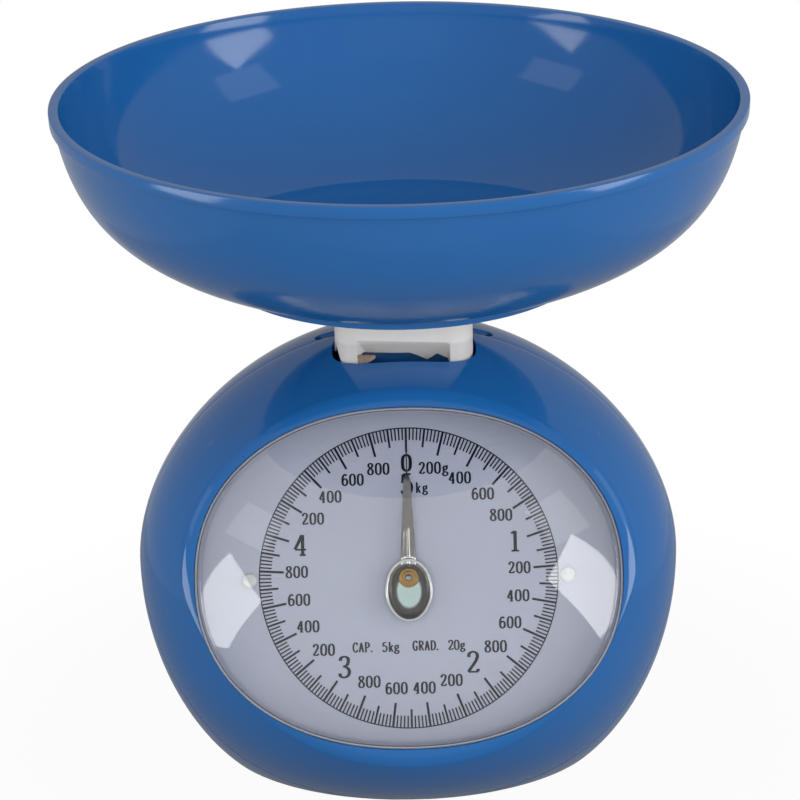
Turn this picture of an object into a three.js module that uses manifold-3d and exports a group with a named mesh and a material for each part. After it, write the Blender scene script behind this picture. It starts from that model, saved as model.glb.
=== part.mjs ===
// A 5 kg spring kitchen scale: an egg-shaped housing with a leaning oval dial, a lift-off bowl on a
// square neck, and behind the dial a rack-and-pinion movement on a sprung parallelogram.
// Millimetres. +Z is up, the front faces -Y, and the origin is on the table under the neck.
import * as THREE from "three";
import { mergeVertices } from "three/addons/utils/BufferGeometryUtils.js";
import Module from "manifold-3d";

const wasm = await Module();
wasm.setup();

// ---------------------------------------------------------------- driving dimensions

const gap = 0.3; // clearance between pieces that seat on each other
const sheet = 1.5; // steel sheet of the frame, carrier and brackets
const farAway = 400; // reach of a cutting tool that has to pass right through

// Housing: elliptical level sections that grow from the base to the waist and close at the crown.
const baseHeight = 1;
const baseHalfWidth = 66.5;
const baseHalfDepth = 53;
const baseCentreY = 1;
const waistHeight = 74;
const waistHalfWidth = 92;
const waistHalfDepth = 75.5;
const waistCentreY = -8.3;
const crownHeight = 148.6;
const crownLean = 22.6; // the crown's centre lies this far behind the waist's
const crownFullness = 1.95; // 2 is an ellipse
const flankPower = 2.06;
const heelPower = 3.5;
const shellWall = 2.5;
const floorThickness = 3;
const partingDepth = 21; // the two shells meet on a plane this far behind the dial
const partingGap = 0.4;

// Dial: its own plane leans back, and the window, lens and pointer are laid out on that plane.
const dialTilt = THREE.MathUtils.degToRad(24);
const dialCentreY = -42;
const dialCentreZ = 78.4;
const dialThickness = 1;
const dialHalfWidth = 72;
const dialHalfHeight = 57.6;
const dialPinSpacing = 106;
const dialPinHead = 5;
const windowHalfWidth = 71.4;
const windowHalfHeight = 56.9;
const windowSquareness = 2.2;
const windowLandHeight = 11; // the flat land round the window, above the dial
const windowLandThickness = 3.5;
const lensLedge = 1.8;
const lensThickness = 1.5;
const lensFlange = 1.7; // flat rim round the lens's dome
const lensRise = 22;
const lensRoundness = 0.55; // 0 is a shallow bowl's curve, 1 a dome that ends upright

// Pointer: a chromed spoon with a needle drawn out of its handle.
const pointerHeight = 4.2;
const pointerSheet = 0.8;
const spoonHalfWidth = 7.9;
const spoonHalfLength = 10.6;
const spoonDepth = 3;
const spoonDrop = 4;
const handleTop = 33;
const handleRootWidth = 5.2;
const handleTipWidth = 2.3;
const needleTop = 49.5;
const needleWidth = 0.6;
const hubRadius = 3;

// Movement: a full turn of the pointer is the whole capacity.
const gearModule = 0.4;
const pinionTeeth = 10;
const pinionLength = 9;
const shaftRadius = 1;
const rackTeeth = 16;
const rackThickness = 2;
const rackDepth = 3.5;
const rackFront = 5; // the rack's front face, behind the dial
const rackPinHeight = 24;
const travel = (Math.PI * gearModule * pinionTeeth) / Math.cos(dialTilt);

// Neck, platform and bowl.
const neckWidth = 44.2;
const neckDepth = 17.4;
const neckCorner = 7;
const neckWall = 2;
const neckBottom = 120;
const sleeveWall = 1;
const neckWindowHalfWidth = 16; // an opening in the neck's front wall, down inside the housing
const neckWindowBottom = 128;
const neckWindowTop = 150.5;
const sleeveBottom = 144.5;
const sleeveTearLeft = -13; // the card is torn away here, low at the front
const sleeveTearRight = 3;
const sleeveTearTop = 148.3;
const neckHoleHalfWidth = 24.4;
const neckHoleHalfDepth = 12;
const neckHoleSquareness = 3.2;
const earReach = 30.5; // a narrow slot along the back of the neck's hole ends in two ears
const earWidth = 5;
const earY = 13;
const footHeight = 174.3; // underside of the bowl's foot ring
const footRadius = 62;
const footWall = 3;
const bowlFloorUnderside = 178.6;
const bowlWall = 2.2;
const bowlRimRadius = 115.7;
const bowlRimHeight = 234;
const bowlLipHeight = 4;
const bowlLipOverhang = 1.5;
const bowlLipWidth = 3.3;
const platformRadius = 52;
const platformThickness = 3.6;

// Load carrier, levers, springs and frame.
const carrierHalfWidth = 18;
const carrierFrontY = -11;
const carrierFlange = 10;
const carrierFoot = 40;
const leverArm = 43;
const leverPinY = 38;
const lowerPinHeight = 45;
const upperPinHeight = 86;
const leverHalfWidth = 22.8;
const leverSheet = 1.2;
const leverEye = 4;
const pinRadius = 1.5;
const frameHalfWidth = 27;
const frameBack = 46;
const frameOverHanger = 9;
const frameFlangeWidth = 66;
const springX = 12;
const springY = 8;
const springRadius = 5;
const springWire = 1.4;
const springTurns = 11;
const hangerOverPin = 15; // the spring hanger above the upper frame pin
const hangerDepth = 6;
const zeroLift = 1.2; // the hanger rises or sinks this far from mid-setting
const zeroSwing = Math.PI / 3; // for this turn of the knob
const zeroCamRadius = 6.5;
const zeroCamWidth = 4;
const zeroCamY = 26;
const zeroShaftRadius = 2;
const knobRadius = 12;
const knobLength = 8;
const knobFlutes = 20;
const knobBossRadius = 15;

// Fasteners and feet.
const housingScrewX = 62;
const housingScrewV = 44; // above the dial's centre, in the dial's plane
const heelScrewX = 26;
const heelScrewY = -40;
const heelBossHeight = 11;
const heelScrewLength = 9;
const screwHeadRadius = 3;
const screwHeadHeight = 2;
const screwShankRadius = 1.3;
const bossRadius = 5;
const baseScrewX = 29;
const baseScrewFrontY = -12;
const baseScrewBackY = 38;
const basePlateHalfWidth = 36;
const basePlateFront = -24;
const basePlateBack = 44;
const basePlateCorner = 8;
const padRadius = 6.5;
const padHeight = 2.2;
const padX = 44;
const padFrontY = -26;
const padBackY = 28;

// ---------------------------------------------------------------- solids

const finish = {
  blue: { color: 0x2c62a8, roughness: 0.25, metalness: 0 },
  clear: { color: 0xdfe6ea, roughness: 0.05, metalness: 0, transparent: true, opacity: 0.3 },
  dial: { color: 0xb7bccb, roughness: 0.5, metalness: 0 },
  chrome: { color: 0xcfcfcf, roughness: 0.08, metalness: 1 },
  brass: { color: 0xb08a45, roughness: 0.3, metalness: 1 },
  steel: { color: 0x9a9da0, roughness: 0.4, metalness: 1 },
  card: { color: 0xd0d0ce, roughness: 0.9, metalness: 0 },
  rubber: { color: 0x1c1c1e, roughness: 0.9, metalness: 0 },
};

const X = new THREE.Vector3(1, 0, 0);

function solidOf(geometry) {
  const bare = geometry.clone();
  bare.deleteAttribute("normal");
  bare.deleteAttribute("uv");
  const merged = mergeVertices(bare, 1e-4);
  return new wasm.Manifold(
    new wasm.Mesh({
      numProp: 3,
      vertProperties: merged.attributes.position.array,
      triVerts: new Uint32Array(merged.index.array),
    }),
  );
}

function geometryOf(solid) {
  const mesh = solid.getMesh();
  const geometry = new THREE.BufferGeometry();
  geometry.setAttribute("position", new THREE.BufferAttribute(mesh.vertProperties, 3));
  geometry.setIndex(new THREE.BufferAttribute(mesh.triVerts, 1));
  geometry.computeVertexNormals();
  return geometry;
}

function join(first, ...others) {
  return others.reduce((sum, next) => sum.add(next), first);
}

function cut(body, ...tools) {
  return tools.reduce((rest, tool) => rest.subtract(tool), body);
}

// A box between two corners.
function block(x0, y0, z0, x1, y1, z1) {
  const box = new THREE.BoxGeometry(x1 - x0, y1 - y0, z1 - z0);
  return solidOf(box.translate((x0 + x1) / 2, (y0 + y1) / 2, (z0 + z1) / 2));
}

// A flat outline in X and Y, raised from z0 to z1.
function prism(shape, z0, z1, curveSegments = 12) {
  const options = { depth: z1 - z0, bevelEnabled: false, curveSegments };
  return solidOf(new THREE.ExtrudeGeometry(shape, options).translate(0, 0, z0));
}

// The same outline read as Y and Z, between two values of X.
function sidePrism(shape, x0, x1, curveSegments = 12) {
  const options = { depth: x1 - x0, bevelEnabled: false, curveSegments };
  const geometry = new THREE.ExtrudeGeometry(shape, options);
  const turn = new THREE.Matrix4().makeBasis(
    new THREE.Vector3(0, 1, 0),
    new THREE.Vector3(0, 0, 1),
    X,
  );
  return solidOf(geometry.applyMatrix4(turn).translate(x0, 0, 0));
}

// A round bar along Z.
function rod(radius, z0, z1, x = 0, y = 0, segments = 16) {
  const bar = new THREE.CylinderGeometry(radius, radius, z1 - z0, segments);
  return solidOf(bar.rotateX(Math.PI / 2).translate(x, y, (z0 + z1) / 2));
}

// A round bar along X.
function crossRod(radius, x0, x1, y, z, segments = 16) {
  const bar = new THREE.CylinderGeometry(radius, radius, x1 - x0, segments);
  return solidOf(bar.rotateZ(-Math.PI / 2).translate((x0 + x1) / 2, y, z));
}

// A round bar along Y.
function depthRod(radius, y0, y1, x, z, segments = 20) {
  const bar = new THREE.CylinderGeometry(radius, radius, y1 - y0, segments);
  return solidOf(bar.translate(x, (y0 + y1) / 2, z));
}

// A profile of [radius, height] turned round Z.
function turned(profile, segments) {
  const points = profile.map(([radius, height]) => new THREE.Vector2(radius, height));
  return solidOf(new THREE.LatheGeometry(points, segments).rotateX(Math.PI / 2));
}

function polygon(points) {
  return new THREE.Shape(points.map(([x, y]) => new THREE.Vector2(x, y)));
}

function roundedRectangle(width, height, corner, centreX = 0, centreY = 0) {
  const left = centreX - width / 2;
  const right = centreX + width / 2;
  const low = centreY - height / 2;
  const high = centreY + height / 2;
  const shape = new THREE.Shape();
  shape.moveTo(left + corner, low);
  shape.lineTo(right - corner, low);
  shape.absarc(right - corner, low + corner, corner, -Math.PI / 2, 0);
  shape.lineTo(right, high - corner);
  shape.absarc(right - corner, high - corner, corner, 0, Math.PI / 2);
  shape.lineTo(left + corner, high);
  shape.absarc(left + corner, high - corner, corner, Math.PI / 2, Math.PI);
  shape.lineTo(left, low + corner);
  shape.absarc(left + corner, low + corner, corner, Math.PI, Math.PI * 1.5);
  return shape;
}

// An oval: squareness 2 is an ellipse, and more fills its corners.
function ovalPoint(halfWidth, halfHeight, angle, squareness) {
  const power = 2 / squareness;
  const c = Math.cos(angle);
  const s = Math.sin(angle);
  return [
    halfWidth * Math.sign(c) * Math.abs(c) ** power,
    halfHeight * Math.sign(s) * Math.abs(s) ** power,
  ];
}

function oval(halfWidth, halfHeight, segments = 48, squareness = windowSquareness) {
  const turn = (2 * Math.PI) / segments;
  const angles = Array.from({ length: segments }, (_, i) => (i + 0.5) * turn);
  return polygon(angles.map((angle) => ovalPoint(halfWidth, halfHeight, angle, squareness)));
}

// A closed surface through rings of equal count, each ring a list of [x, y, z] counter-clockwise.
function skin(rings) {
  const count = rings[0].length;
  const positions = rings.flat(2);
  const faces = [];
  for (let level = 0; level + 1 < rings.length; level++) {
    for (let i = 0; i < count; i++) {
      const a = level * count + i;
      const b = level * count + ((i + 1) % count);
      faces.push(a, b, b + count, a, b + count, a + count);
    }
  }
  const last = (rings.length - 1) * count;
  for (let i = 1; i + 1 < count; i++) {
    faces.push(0, i + 1, i);
    faces.push(last, last + i, last + i + 1);
  }
  const geometry = new THREE.BufferGeometry();
  geometry.setAttribute("position", new THREE.Float32BufferAttribute(positions, 3));
  geometry.setIndex(faces);
  return solidOf(geometry);
}

// ---------------------------------------------------------------- the dial's own frame

const dialFrame = new THREE.Group();
dialFrame.position.set(0, dialCentreY, dialCentreZ);
dialFrame.rotation.x = Math.PI / 2 - dialTilt;
dialFrame.updateMatrix();

// A solid laid out on the dial (x right, y up the dial, z out of it) moved to the part's frame.
function fromDial(solid) {
  return solid.transform(dialFrame.matrix.toArray());
}

function dialPoint(x, y, z) {
  return new THREE.Vector3(x, y, z).applyMatrix4(dialFrame.matrix);
}

// ---------------------------------------------------------------- housing

// Half width, half depth and centre of the housing's level section, its skin moved in by inset.
function housingSection(z, inset) {
  const crown = crownHeight - inset;
  if (z >= waistHeight) {
    const rise = Math.min((z - waistHeight) / (crown - waistHeight), 1);
    const share = (1 - rise ** crownFullness) ** (1 / crownFullness);
    return {
      halfWidth: (waistHalfWidth - inset) * share,
      halfDepth: (waistHalfDepth - inset) * share,
      centre: waistCentreY + crownLean * rise * rise,
    };
  }
  const fall = (waistHeight - z) / waistHeight;
  const flank = fall ** flankPower;
  const heel = fall ** heelPower;
  return {
    halfWidth: waistHalfWidth - inset - (waistHalfWidth - baseHalfWidth) * flank,
    halfDepth: waistHalfDepth - inset - (waistHalfDepth - baseHalfDepth) * heel,
    centre: waistCentreY + (baseCentreY - waistCentreY) * heel,
  };
}

function housingBody(inset, bottom, segments, lowLevels, highLevels) {
  const crown = crownHeight - inset;
  const heights = [];
  for (let i = 0; i < lowLevels; i++) {
    heights.push(bottom + ((waistHeight - bottom) * i) / lowLevels);
  }
  for (let i = 0; i < highLevels; i++) {
    const angle = (i / highLevels) * (Math.PI / 2);
    heights.push(waistHeight + (crown - waistHeight) * Math.sin(angle));
  }
  const rings = heights.map((z) => {
    const { halfWidth, halfDepth, centre } = housingSection(z, inset);
    return Array.from({ length: segments }, (_, i) => {
      const angle = (2 * Math.PI * i) / segments;
      return [halfWidth * Math.cos(angle), centre + halfDepth * Math.sin(angle), z];
    });
  });
  return skin(rings);
}

// Everything on one side of a plane parallel to the dial.
function slabOverDial(z0, z1) {
  return fromDial(block(-farAway, -farAway, z0, farAway, farAway, z1));
}

const floorTop = baseHeight + floorThickness;
const housingOutside = housingBody(0, baseHeight, 48, 6, 11).intersect(
  slabOverDial(-farAway, windowLandHeight),
);
const housingInside = housingBody(shellWall, floorTop, 32, 4, 7).intersect(
  slabOverDial(-farAway, windowLandHeight - windowLandThickness),
);
const housingShell = housingOutside.subtract(housingInside);

const neckOval = oval(neckHoleHalfWidth, neckHoleHalfDepth, 36, neckHoleSquareness);
const earSlot = roundedRectangle(2 * earReach, earWidth, earWidth / 2 - 0.1, 0, earY);
const neckHole = join(
  prism(neckOval, neckBottom, farAway),
  prism(earSlot, neckBottom, farAway, 4),
);

const housingScrewSpots = [
  [-housingScrewX, housingScrewV],
  [housingScrewX, housingScrewV],
];
const heelScrewSpots = [
  [-heelScrewX, heelScrewY],
  [heelScrewX, heelScrewY],
];
const rearBossFace = -partingDepth - partingGap / 2;
const frontBossFace = -partingDepth + partingGap / 2;
const screwSeat = rearBossFace - 5; // the screw head bears here, at the bottom of its well
const screwEngagement = 10;

function frontHousing() {
  const shell = housingShell.intersect(slabOverDial(frontBossFace, farAway));
  const bosses = housingScrewSpots.map(([x, y]) =>
    fromDial(rod(bossRadius - 1, frontBossFace, windowLandHeight, x, y)).intersect(housingOutside),
  );
  const pilots = housingScrewSpots.map(([x, y]) =>
    fromDial(rod(screwShankRadius + gap, -farAway, frontBossFace + screwEngagement + gap, x, y, 12)),
  );
  const heelBottom = floorTop + gap;
  const heels = heelScrewSpots.map(([x, y]) => {
    const rib = block(x - 1.25, -farAway, heelBottom + 1.2, x + 1.25, y, heelBottom + heelBossHeight);
    const boss = rod(bossRadius - 1, heelBottom, heelBottom + heelBossHeight, x, y);
    return join(boss, rib.intersect(housingOutside));
  });
  const heelBores = heelScrewSpots.map(([x, y]) =>
    rod(screwShankRadius + gap, 0, floorTop + heelScrewLength + gap, x, y, 12),
  );
  const recessFloor = windowLandHeight - lensThickness - gap;
  const lensRecess = fromDial(prism(oval(windowHalfWidth, windowHalfHeight), recessFloor, farAway));
  const opening = fromDial(
    prism(oval(windowHalfWidth - lensLedge, windowHalfHeight - lensLedge), 0, farAway),
  );
  const bossed = join(shell, ...bosses, ...heels);
  return cut(bossed, ...pilots, ...heelBores, lensRecess, opening, neckHole);
}

const hangerHeight = upperPinHeight + hangerOverPin;
const zeroShaftZ = hangerHeight - zeroCamRadius - 0.4;
const backOfHousing = (() => {
  const { halfDepth, centre } = housingSection(zeroShaftZ, 0);
  return centre + halfDepth;
})();
const knobBossFace = backOfHousing + 2;

const baseScrewSpots = [
  [-baseScrewX, baseScrewFrontY],
  [baseScrewX, baseScrewFrontY],
  [-baseScrewX, baseScrewBackY],
  [baseScrewX, baseScrewBackY],
];
const padSpots = [
  [-padX, padFrontY],
  [padX, padFrontY],
  [-padX, padBackY],
  [padX, padBackY],
];

function rearHousing() {
  const shell = housingShell.intersect(slabOverDial(-farAway, rearBossFace));
  const wells = housingScrewSpots.map(([x, y]) =>
    fromDial(rod(bossRadius, -farAway, rearBossFace, x, y)).intersect(housingOutside),
  );
  const knobBoss = cut(
    depthRod(knobBossRadius, backOfHousing - 8, knobBossFace, 0, zeroShaftZ, 28),
    housingInside,
  );
  const wellBores = housingScrewSpots.map(([x, y]) =>
    join(
      fromDial(rod(screwHeadRadius + gap, -farAway, screwSeat, x, y)),
      fromDial(rod(screwShankRadius + gap, screwSeat - 1, farAway, x, y, 12)),
    ),
  );
  const screwBores = [...baseScrewSpots, ...heelScrewSpots].map(([x, y]) =>
    join(
      rod(screwHeadRadius + gap, 0, baseHeight + screwHeadHeight, x, y),
      rod(screwShankRadius + gap, 0, floorTop + 1, x, y, 12),
    ),
  );
  const padRecesses = padSpots.map(([x, y]) => rod(padRadius + gap, 0, padHeight + gap, x, y, 18));
  const shaftBore = depthRod(zeroShaftRadius + gap, 0, farAway, 0, zeroShaftZ, 16);
  const shelled = join(shell, ...wells, knobBoss);
  return cut(shelled, ...wellBores, ...screwBores, ...padRecesses, shaftBore, neckHole);
}

// ---------------------------------------------------------------- window, dial and pointer

// The lens: a flat rim in the recess and a bulging dome of even thickness.
function lens() {
  const segments = 44;
  const rings = [];
  const rimTop = windowLandHeight;
  const rimBottom = rimTop - lensThickness;
  const domeShare = 1 - lensFlange / windowHalfWidth;
  const shoulder = Math.sqrt(1 - lensRoundness);
  const dome = (share) => {
    const height = Math.sqrt(1 - lensRoundness * (share / domeShare) ** 2);
    return (lensRise * (height - shoulder)) / (1 - shoulder);
  };
  const spans = [0.04, 0.25, 0.45, 0.63, 0.79, 0.91, 1].map((share) => share * domeShare);
  const ring = (share, z) =>
    Array.from({ length: segments }, (_, i) => {
      const angle = (2 * Math.PI * (i + 0.5)) / segments;
      const [x, y] = ovalPoint(
        (windowHalfWidth - gap) * share,
        (windowHalfHeight - gap) * share,
        angle,
        windowSquareness,
      );
      return [x, y, z];
    });
  for (const share of spans) rings.push(ring(share, rimBottom + dome(share)));
  rings.push(ring(1, rimBottom));
  rings.push(ring(1, rimTop));
  for (const share of spans.toReversed()) rings.push(ring(share, rimTop + dome(share)));
  return skin(rings);
}

const bracketHoleRadius = 4;
const dialPinShank = 1.2;

function dialPlate() {
  const plate = prism(oval(dialHalfWidth, dialHalfHeight), -dialThickness, 0);
  const pinHoles = [-1, 1].map((side) =>
    rod(dialPinShank + gap, -9, 9, (side * dialPinSpacing) / 2, 0, 12),
  );
  return cut(plate, rod(bracketHoleRadius, -9, 9), ...pinHoles);
}

// A snap-in pin: a domed head on the dial and a shank through the dial and its bracket.
function dialPin() {
  const head = dialPinHead / 2;
  const bottom = -dialThickness - gap - sheet - gap - 1.5;
  return turned(
    [
      [0, bottom],
      [dialPinShank, bottom],
      [dialPinShank, gap],
      [head, gap],
      [head, gap + 0.7],
      [head * 0.7, gap + 1.3],
      [0, gap + 1.6],
    ],
    20,
  );
}

const bracketFront = -dialThickness - gap;
const bracketBack = bracketFront - sheet;
const bracketHalfHeight = 8;
const bracketTabDepth = 14;

// A strip across the back of the dial, with two tabs bent back onto the frame.
function dialBracket() {
  const reach = dialPinSpacing / 2 + 7;
  const h = bracketHalfHeight;
  const tabOutside = frameHalfWidth - sheet - gap;
  const strip = block(-reach, -h, bracketBack, reach, h, bracketFront);
  const tabs = [-1, 1].map((side) => {
    const edges = [side * tabOutside, side * (tabOutside - sheet)].sort((a, b) => a - b);
    return block(edges[0], -h, -bracketTabDepth, edges[1], h, bracketFront);
  });
  const pinHoles = [-1, 1].map((side) =>
    rod(dialPinShank + gap, -farAway, farAway, (side * dialPinSpacing) / 2, 0, 12),
  );
  return cut(join(strip, ...tabs), rod(bracketHoleRadius, -farAway, farAway), ...pinHoles);
}

const pinionFront = -rackFront + 0.6;
const pinionBack = pinionFront - pinionLength;
const bridgeFront = pinionBack - gap - 1;

// The bearing bridge: a U of sheet behind the dial bracket that holds the back of the shaft.
function pinionBridge() {
  const halfWidth = 14;
  const halfHeight = 6;
  const back = bridgeFront - sheet;
  const plate = block(-halfWidth, -halfHeight, back, halfWidth, halfHeight, bridgeFront);
  const legTop = bracketBack - gap;
  const legs = [
    block(-halfWidth, -halfHeight, back, sheet - halfWidth, halfHeight, legTop),
    block(halfWidth - sheet, -halfHeight, back, halfWidth, halfHeight, legTop),
  ];
  return cut(join(plate, ...legs), rod(shaftRadius + 0.15, -farAway, farAway, 0, 0, 16));
}

function pointerShaft() {
  return rod(shaftRadius, bridgeFront - sheet - 1, pointerHeight + 1, 0, 0, 16);
}

function pointerHub() {
  const bottom = gap + 0.5;
  const tube = join(
    rod(hubRadius - 0.8, bottom, pointerHeight - spoonDepth + pointerSheet + 2.4, 0, 0, 20),
    rod(hubRadius, bottom, pointerHeight - spoonDepth - gap, 0, 0, 24),
  );
  return cut(tube, rod(shaftRadius + gap / 2, -farAway, farAway, 0, 0, 16));
}

// The spoon's dished bowl hangs below the pivot; the handle tapers up to the needle.
function pointer() {
  const outer = new THREE.SphereGeometry(1, 20, 12);
  const inner = outer.clone();
  outer.scale(spoonHalfWidth, spoonHalfLength, spoonDepth);
  const rimWidth = pointerSheet;
  inner.scale(spoonHalfWidth - rimWidth, spoonHalfLength - rimWidth, spoonDepth - pointerSheet);
  const lowHalf = block(-farAway, -farAway, -farAway, farAway, farAway, 0);
  const dish = cut(solidOf(outer).intersect(lowHalf), solidOf(inner))
    .translate([0, -spoonDrop, pointerHeight]);
  const root = spoonHalfLength - spoonDrop - 1.2;
  const handle = polygon([
    [-handleRootWidth / 2, root],
    [handleRootWidth / 2, root],
    [handleTipWidth / 2, handleTop],
    [needleWidth / 2, handleTop + 1.5],
    [needleWidth / 2, needleTop],
    [-needleWidth / 2, needleTop],
    [-needleWidth / 2, handleTop + 1.5],
    [-handleTipWidth / 2, handleTop],
  ]);
  const blade = prism(handle, pointerHeight - pointerSheet, pointerHeight);
  return cut(join(dish, blade), rod(hubRadius - 0.8 + gap, -farAway, farAway, 0, 0, 20));
}

// Ten low teeth, thinned for free running.
function pinion() {
  const pitchRadius = (gearModule * pinionTeeth) / 2;
  const tip = pitchRadius + 0.75 * gearModule;
  const root = pitchRadius - gearModule;
  const step = (2 * Math.PI) / pinionTeeth;
  const points = [];
  for (let tooth = 0; tooth < pinionTeeth; tooth++) {
    const centre = (tooth + 0.5) * step;
    const flanks = [
      [root, -0.24],
      [tip, -0.1],
      [tip, 0.1],
      [root, 0.24],
    ];
    for (const [radius, share] of flanks) {
      const angle = centre + share * step;
      points.push([radius * Math.cos(angle), radius * Math.sin(angle)]);
    }
  }
  const gear = prism(polygon(points), pinionBack, pinionFront);
  return cut(gear, rod(shaftRadius + gap / 3, -farAway, farAway, 0, 0, 16));
}

// The rack stands beside the pinion. Its lowest teeth are in mesh at rest.
function rack() {
  const pitch = Math.PI * gearModule;
  const pitchX = (gearModule * pinionTeeth) / 2;
  const tip = pitchX - 0.75 * gearModule;
  const root = pitchX + gearModule;
  const back = root + rackDepth - 1;
  const low = -2.5 * pitch;
  const top = rackPinHeight + 3;
  const points = [[root, low]];
  for (let tooth = 0; tooth < rackTeeth; tooth++) {
    const centre = low + (tooth + 0.5) * pitch;
    points.push([root, centre - 0.24 * pitch]);
    points.push([tip, centre - 0.12 * pitch]);
    points.push([tip, centre + 0.12 * pitch]);
    points.push([root, centre + 0.24 * pitch]);
  }
  points.push([root, top], [back, top], [back, low]);
  return prism(polygon(points.reverse()), -rackFront - rackThickness, -rackFront);
}

const rackRoot = (gearModule * pinionTeeth) / 2 + gearModule;
const rackBack = rackRoot + rackDepth - 1;
const rackPin = dialPoint(0, rackPinHeight, -rackFront - rackThickness / 2);
const rackPinRadius = 0.8;
const rackPinHole = rackPinRadius + gap;
const rackEye = rackPinHole + 1.4;

// The rack hangs from the carrier's arm by the eye at its top.
function hungRack() {
  const eye = crossRod(rackEye, rackRoot, rackBack, rackPin.y, rackPin.z, 20);
  const hole = crossRod(rackPinHole, 0, farAway, rackPin.y, rackPin.z, 12);
  return cut(join(fromDial(rack()), eye), hole);
}

// ---------------------------------------------------------------- neck, platform and bowl

function neckTube(width, depth, corner, wallThickness, z0, z1) {
  const outside = roundedRectangle(width, depth, corner);
  const inside = roundedRectangle(
    width - 2 * wallThickness,
    depth - 2 * wallThickness,
    Math.max(corner - wallThickness, 0.5),
  );
  outside.holes.push(new THREE.Path(inside.getPoints(4)));
  return prism(outside, z0, z1, 4);
}

const platformUnderside = bowlFloorUnderside - gap - platformThickness;
const neckTop = platformUnderside - gap;
const neckCap = 3;
const screwFloor = bowlFloorUnderside - gap - screwHeadHeight - 0.2;

function neckPost() {
  const tube = neckTube(neckWidth, neckDepth, neckCorner, neckWall, neckBottom, neckTop);
  const cap = prism(roundedRectangle(neckWidth, neckDepth, neckCorner), neckTop - neckCap, neckTop, 4);
  const window = block(
    -neckWindowHalfWidth,
    -farAway,
    neckWindowBottom,
    neckWindowHalfWidth,
    0,
    neckWindowTop,
  );
  return cut(join(tube, cap), window, rod(screwShankRadius + 0.7 + gap, 0, farAway, 0, 0, 14));
}

function neckSleeve() {
  const spread = 2 * (gap + sleeveWall);
  const corner = neckCorner + gap + sleeveWall;
  const width = neckWidth + spread;
  const depth = neckDepth + spread;
  const tear = block(sleeveTearLeft, -farAway, 0, sleeveTearRight, 0, sleeveTearTop);
  return cut(neckTube(width, depth, corner, sleeveWall, sleeveBottom, neckTop), tear);
}

function platform() {
  const top = bowlFloorUnderside - gap;
  const disc = turned(
    [
      [0, platformUnderside],
      [platformRadius - 2, platformUnderside],
      [platformRadius, platformUnderside + 1.5],
      [platformRadius, top - 0.6],
      [platformRadius - 0.6, top],
      [0, top],
    ],
    48,
  );
  const seat = rod(screwHeadRadius + 1 + gap, screwFloor - gap, farAway, 0, 0, 20);
  return cut(disc, seat, rod(screwShankRadius + 0.7 + gap, 0, farAway, 0, 0, 14));
}

function platformScrew() {
  return join(
    rod(screwHeadRadius + 1, screwFloor, screwFloor + screwHeadHeight, 0, 0, 20),
    rod(screwShankRadius + 0.7, neckTop - neckCap - 5, screwFloor, 0, 0, 14),
  );
}

// Half the bowl's section: foot ring, a full round wall of even thickness, and a square lip that
// stands proud of it.
function bowl() {
  const wallTop = bowlRimHeight - bowlLipHeight;
  const wallRadius = bowlRimRadius - bowlLipOverhang;
  const footTop = bowlFloorUnderside - 1.4;
  const bowlFloorTop = bowlFloorUnderside + bowlWall;
  const outside = new THREE.CubicBezierCurve(
    new THREE.Vector2(footRadius + 2, footTop),
    new THREE.Vector2(footRadius + 38, footTop + 12.6),
    new THREE.Vector2(wallRadius - 4.5, wallTop - 25),
    new THREE.Vector2(wallRadius, wallTop),
  );
  const steps = 8;
  const outerWall = [];
  const innerWall = [];
  for (let i = 0; i <= steps; i++) {
    const point = outside.getPoint(i / steps);
    const along = outside.getTangent(i / steps);
    outerWall.push([point.x, point.y]);
    innerWall.unshift([point.x - bowlWall * along.y, point.y + bowlWall * along.x]);
  }
  const profile = [
    [0, bowlFloorUnderside],
    [footRadius - footWall, bowlFloorUnderside],
    [footRadius - footWall + 0.4, footHeight],
    [footRadius - 0.4, footHeight],
    [footRadius, footTop - 0.8],
    ...outerWall,
    [bowlRimRadius, wallTop + 0.4],
    [bowlRimRadius, bowlRimHeight - 0.4],
    [bowlRimRadius - 0.4, bowlRimHeight],
    [bowlRimRadius - bowlLipWidth, bowlRimHeight],
    ...innerWall.filter(([, height]) => height > bowlFloorTop + 0.3),
    [footRadius + 4, bowlFloorTop],
    [0, bowlFloorTop],
  ];
  return turned(profile, 48);
}

// ---------------------------------------------------------------- carrier, levers and frame

const restAngle = Math.asin(travel / 2 / leverArm); // each lever stands this far above level
const carrierPinY = leverPinY - leverArm * Math.cos(restAngle);
const carrierTop = neckBottom - gap;
const carrierPins = [lowerPinHeight, upperPinHeight].map((height) => height + travel / 2);

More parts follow.
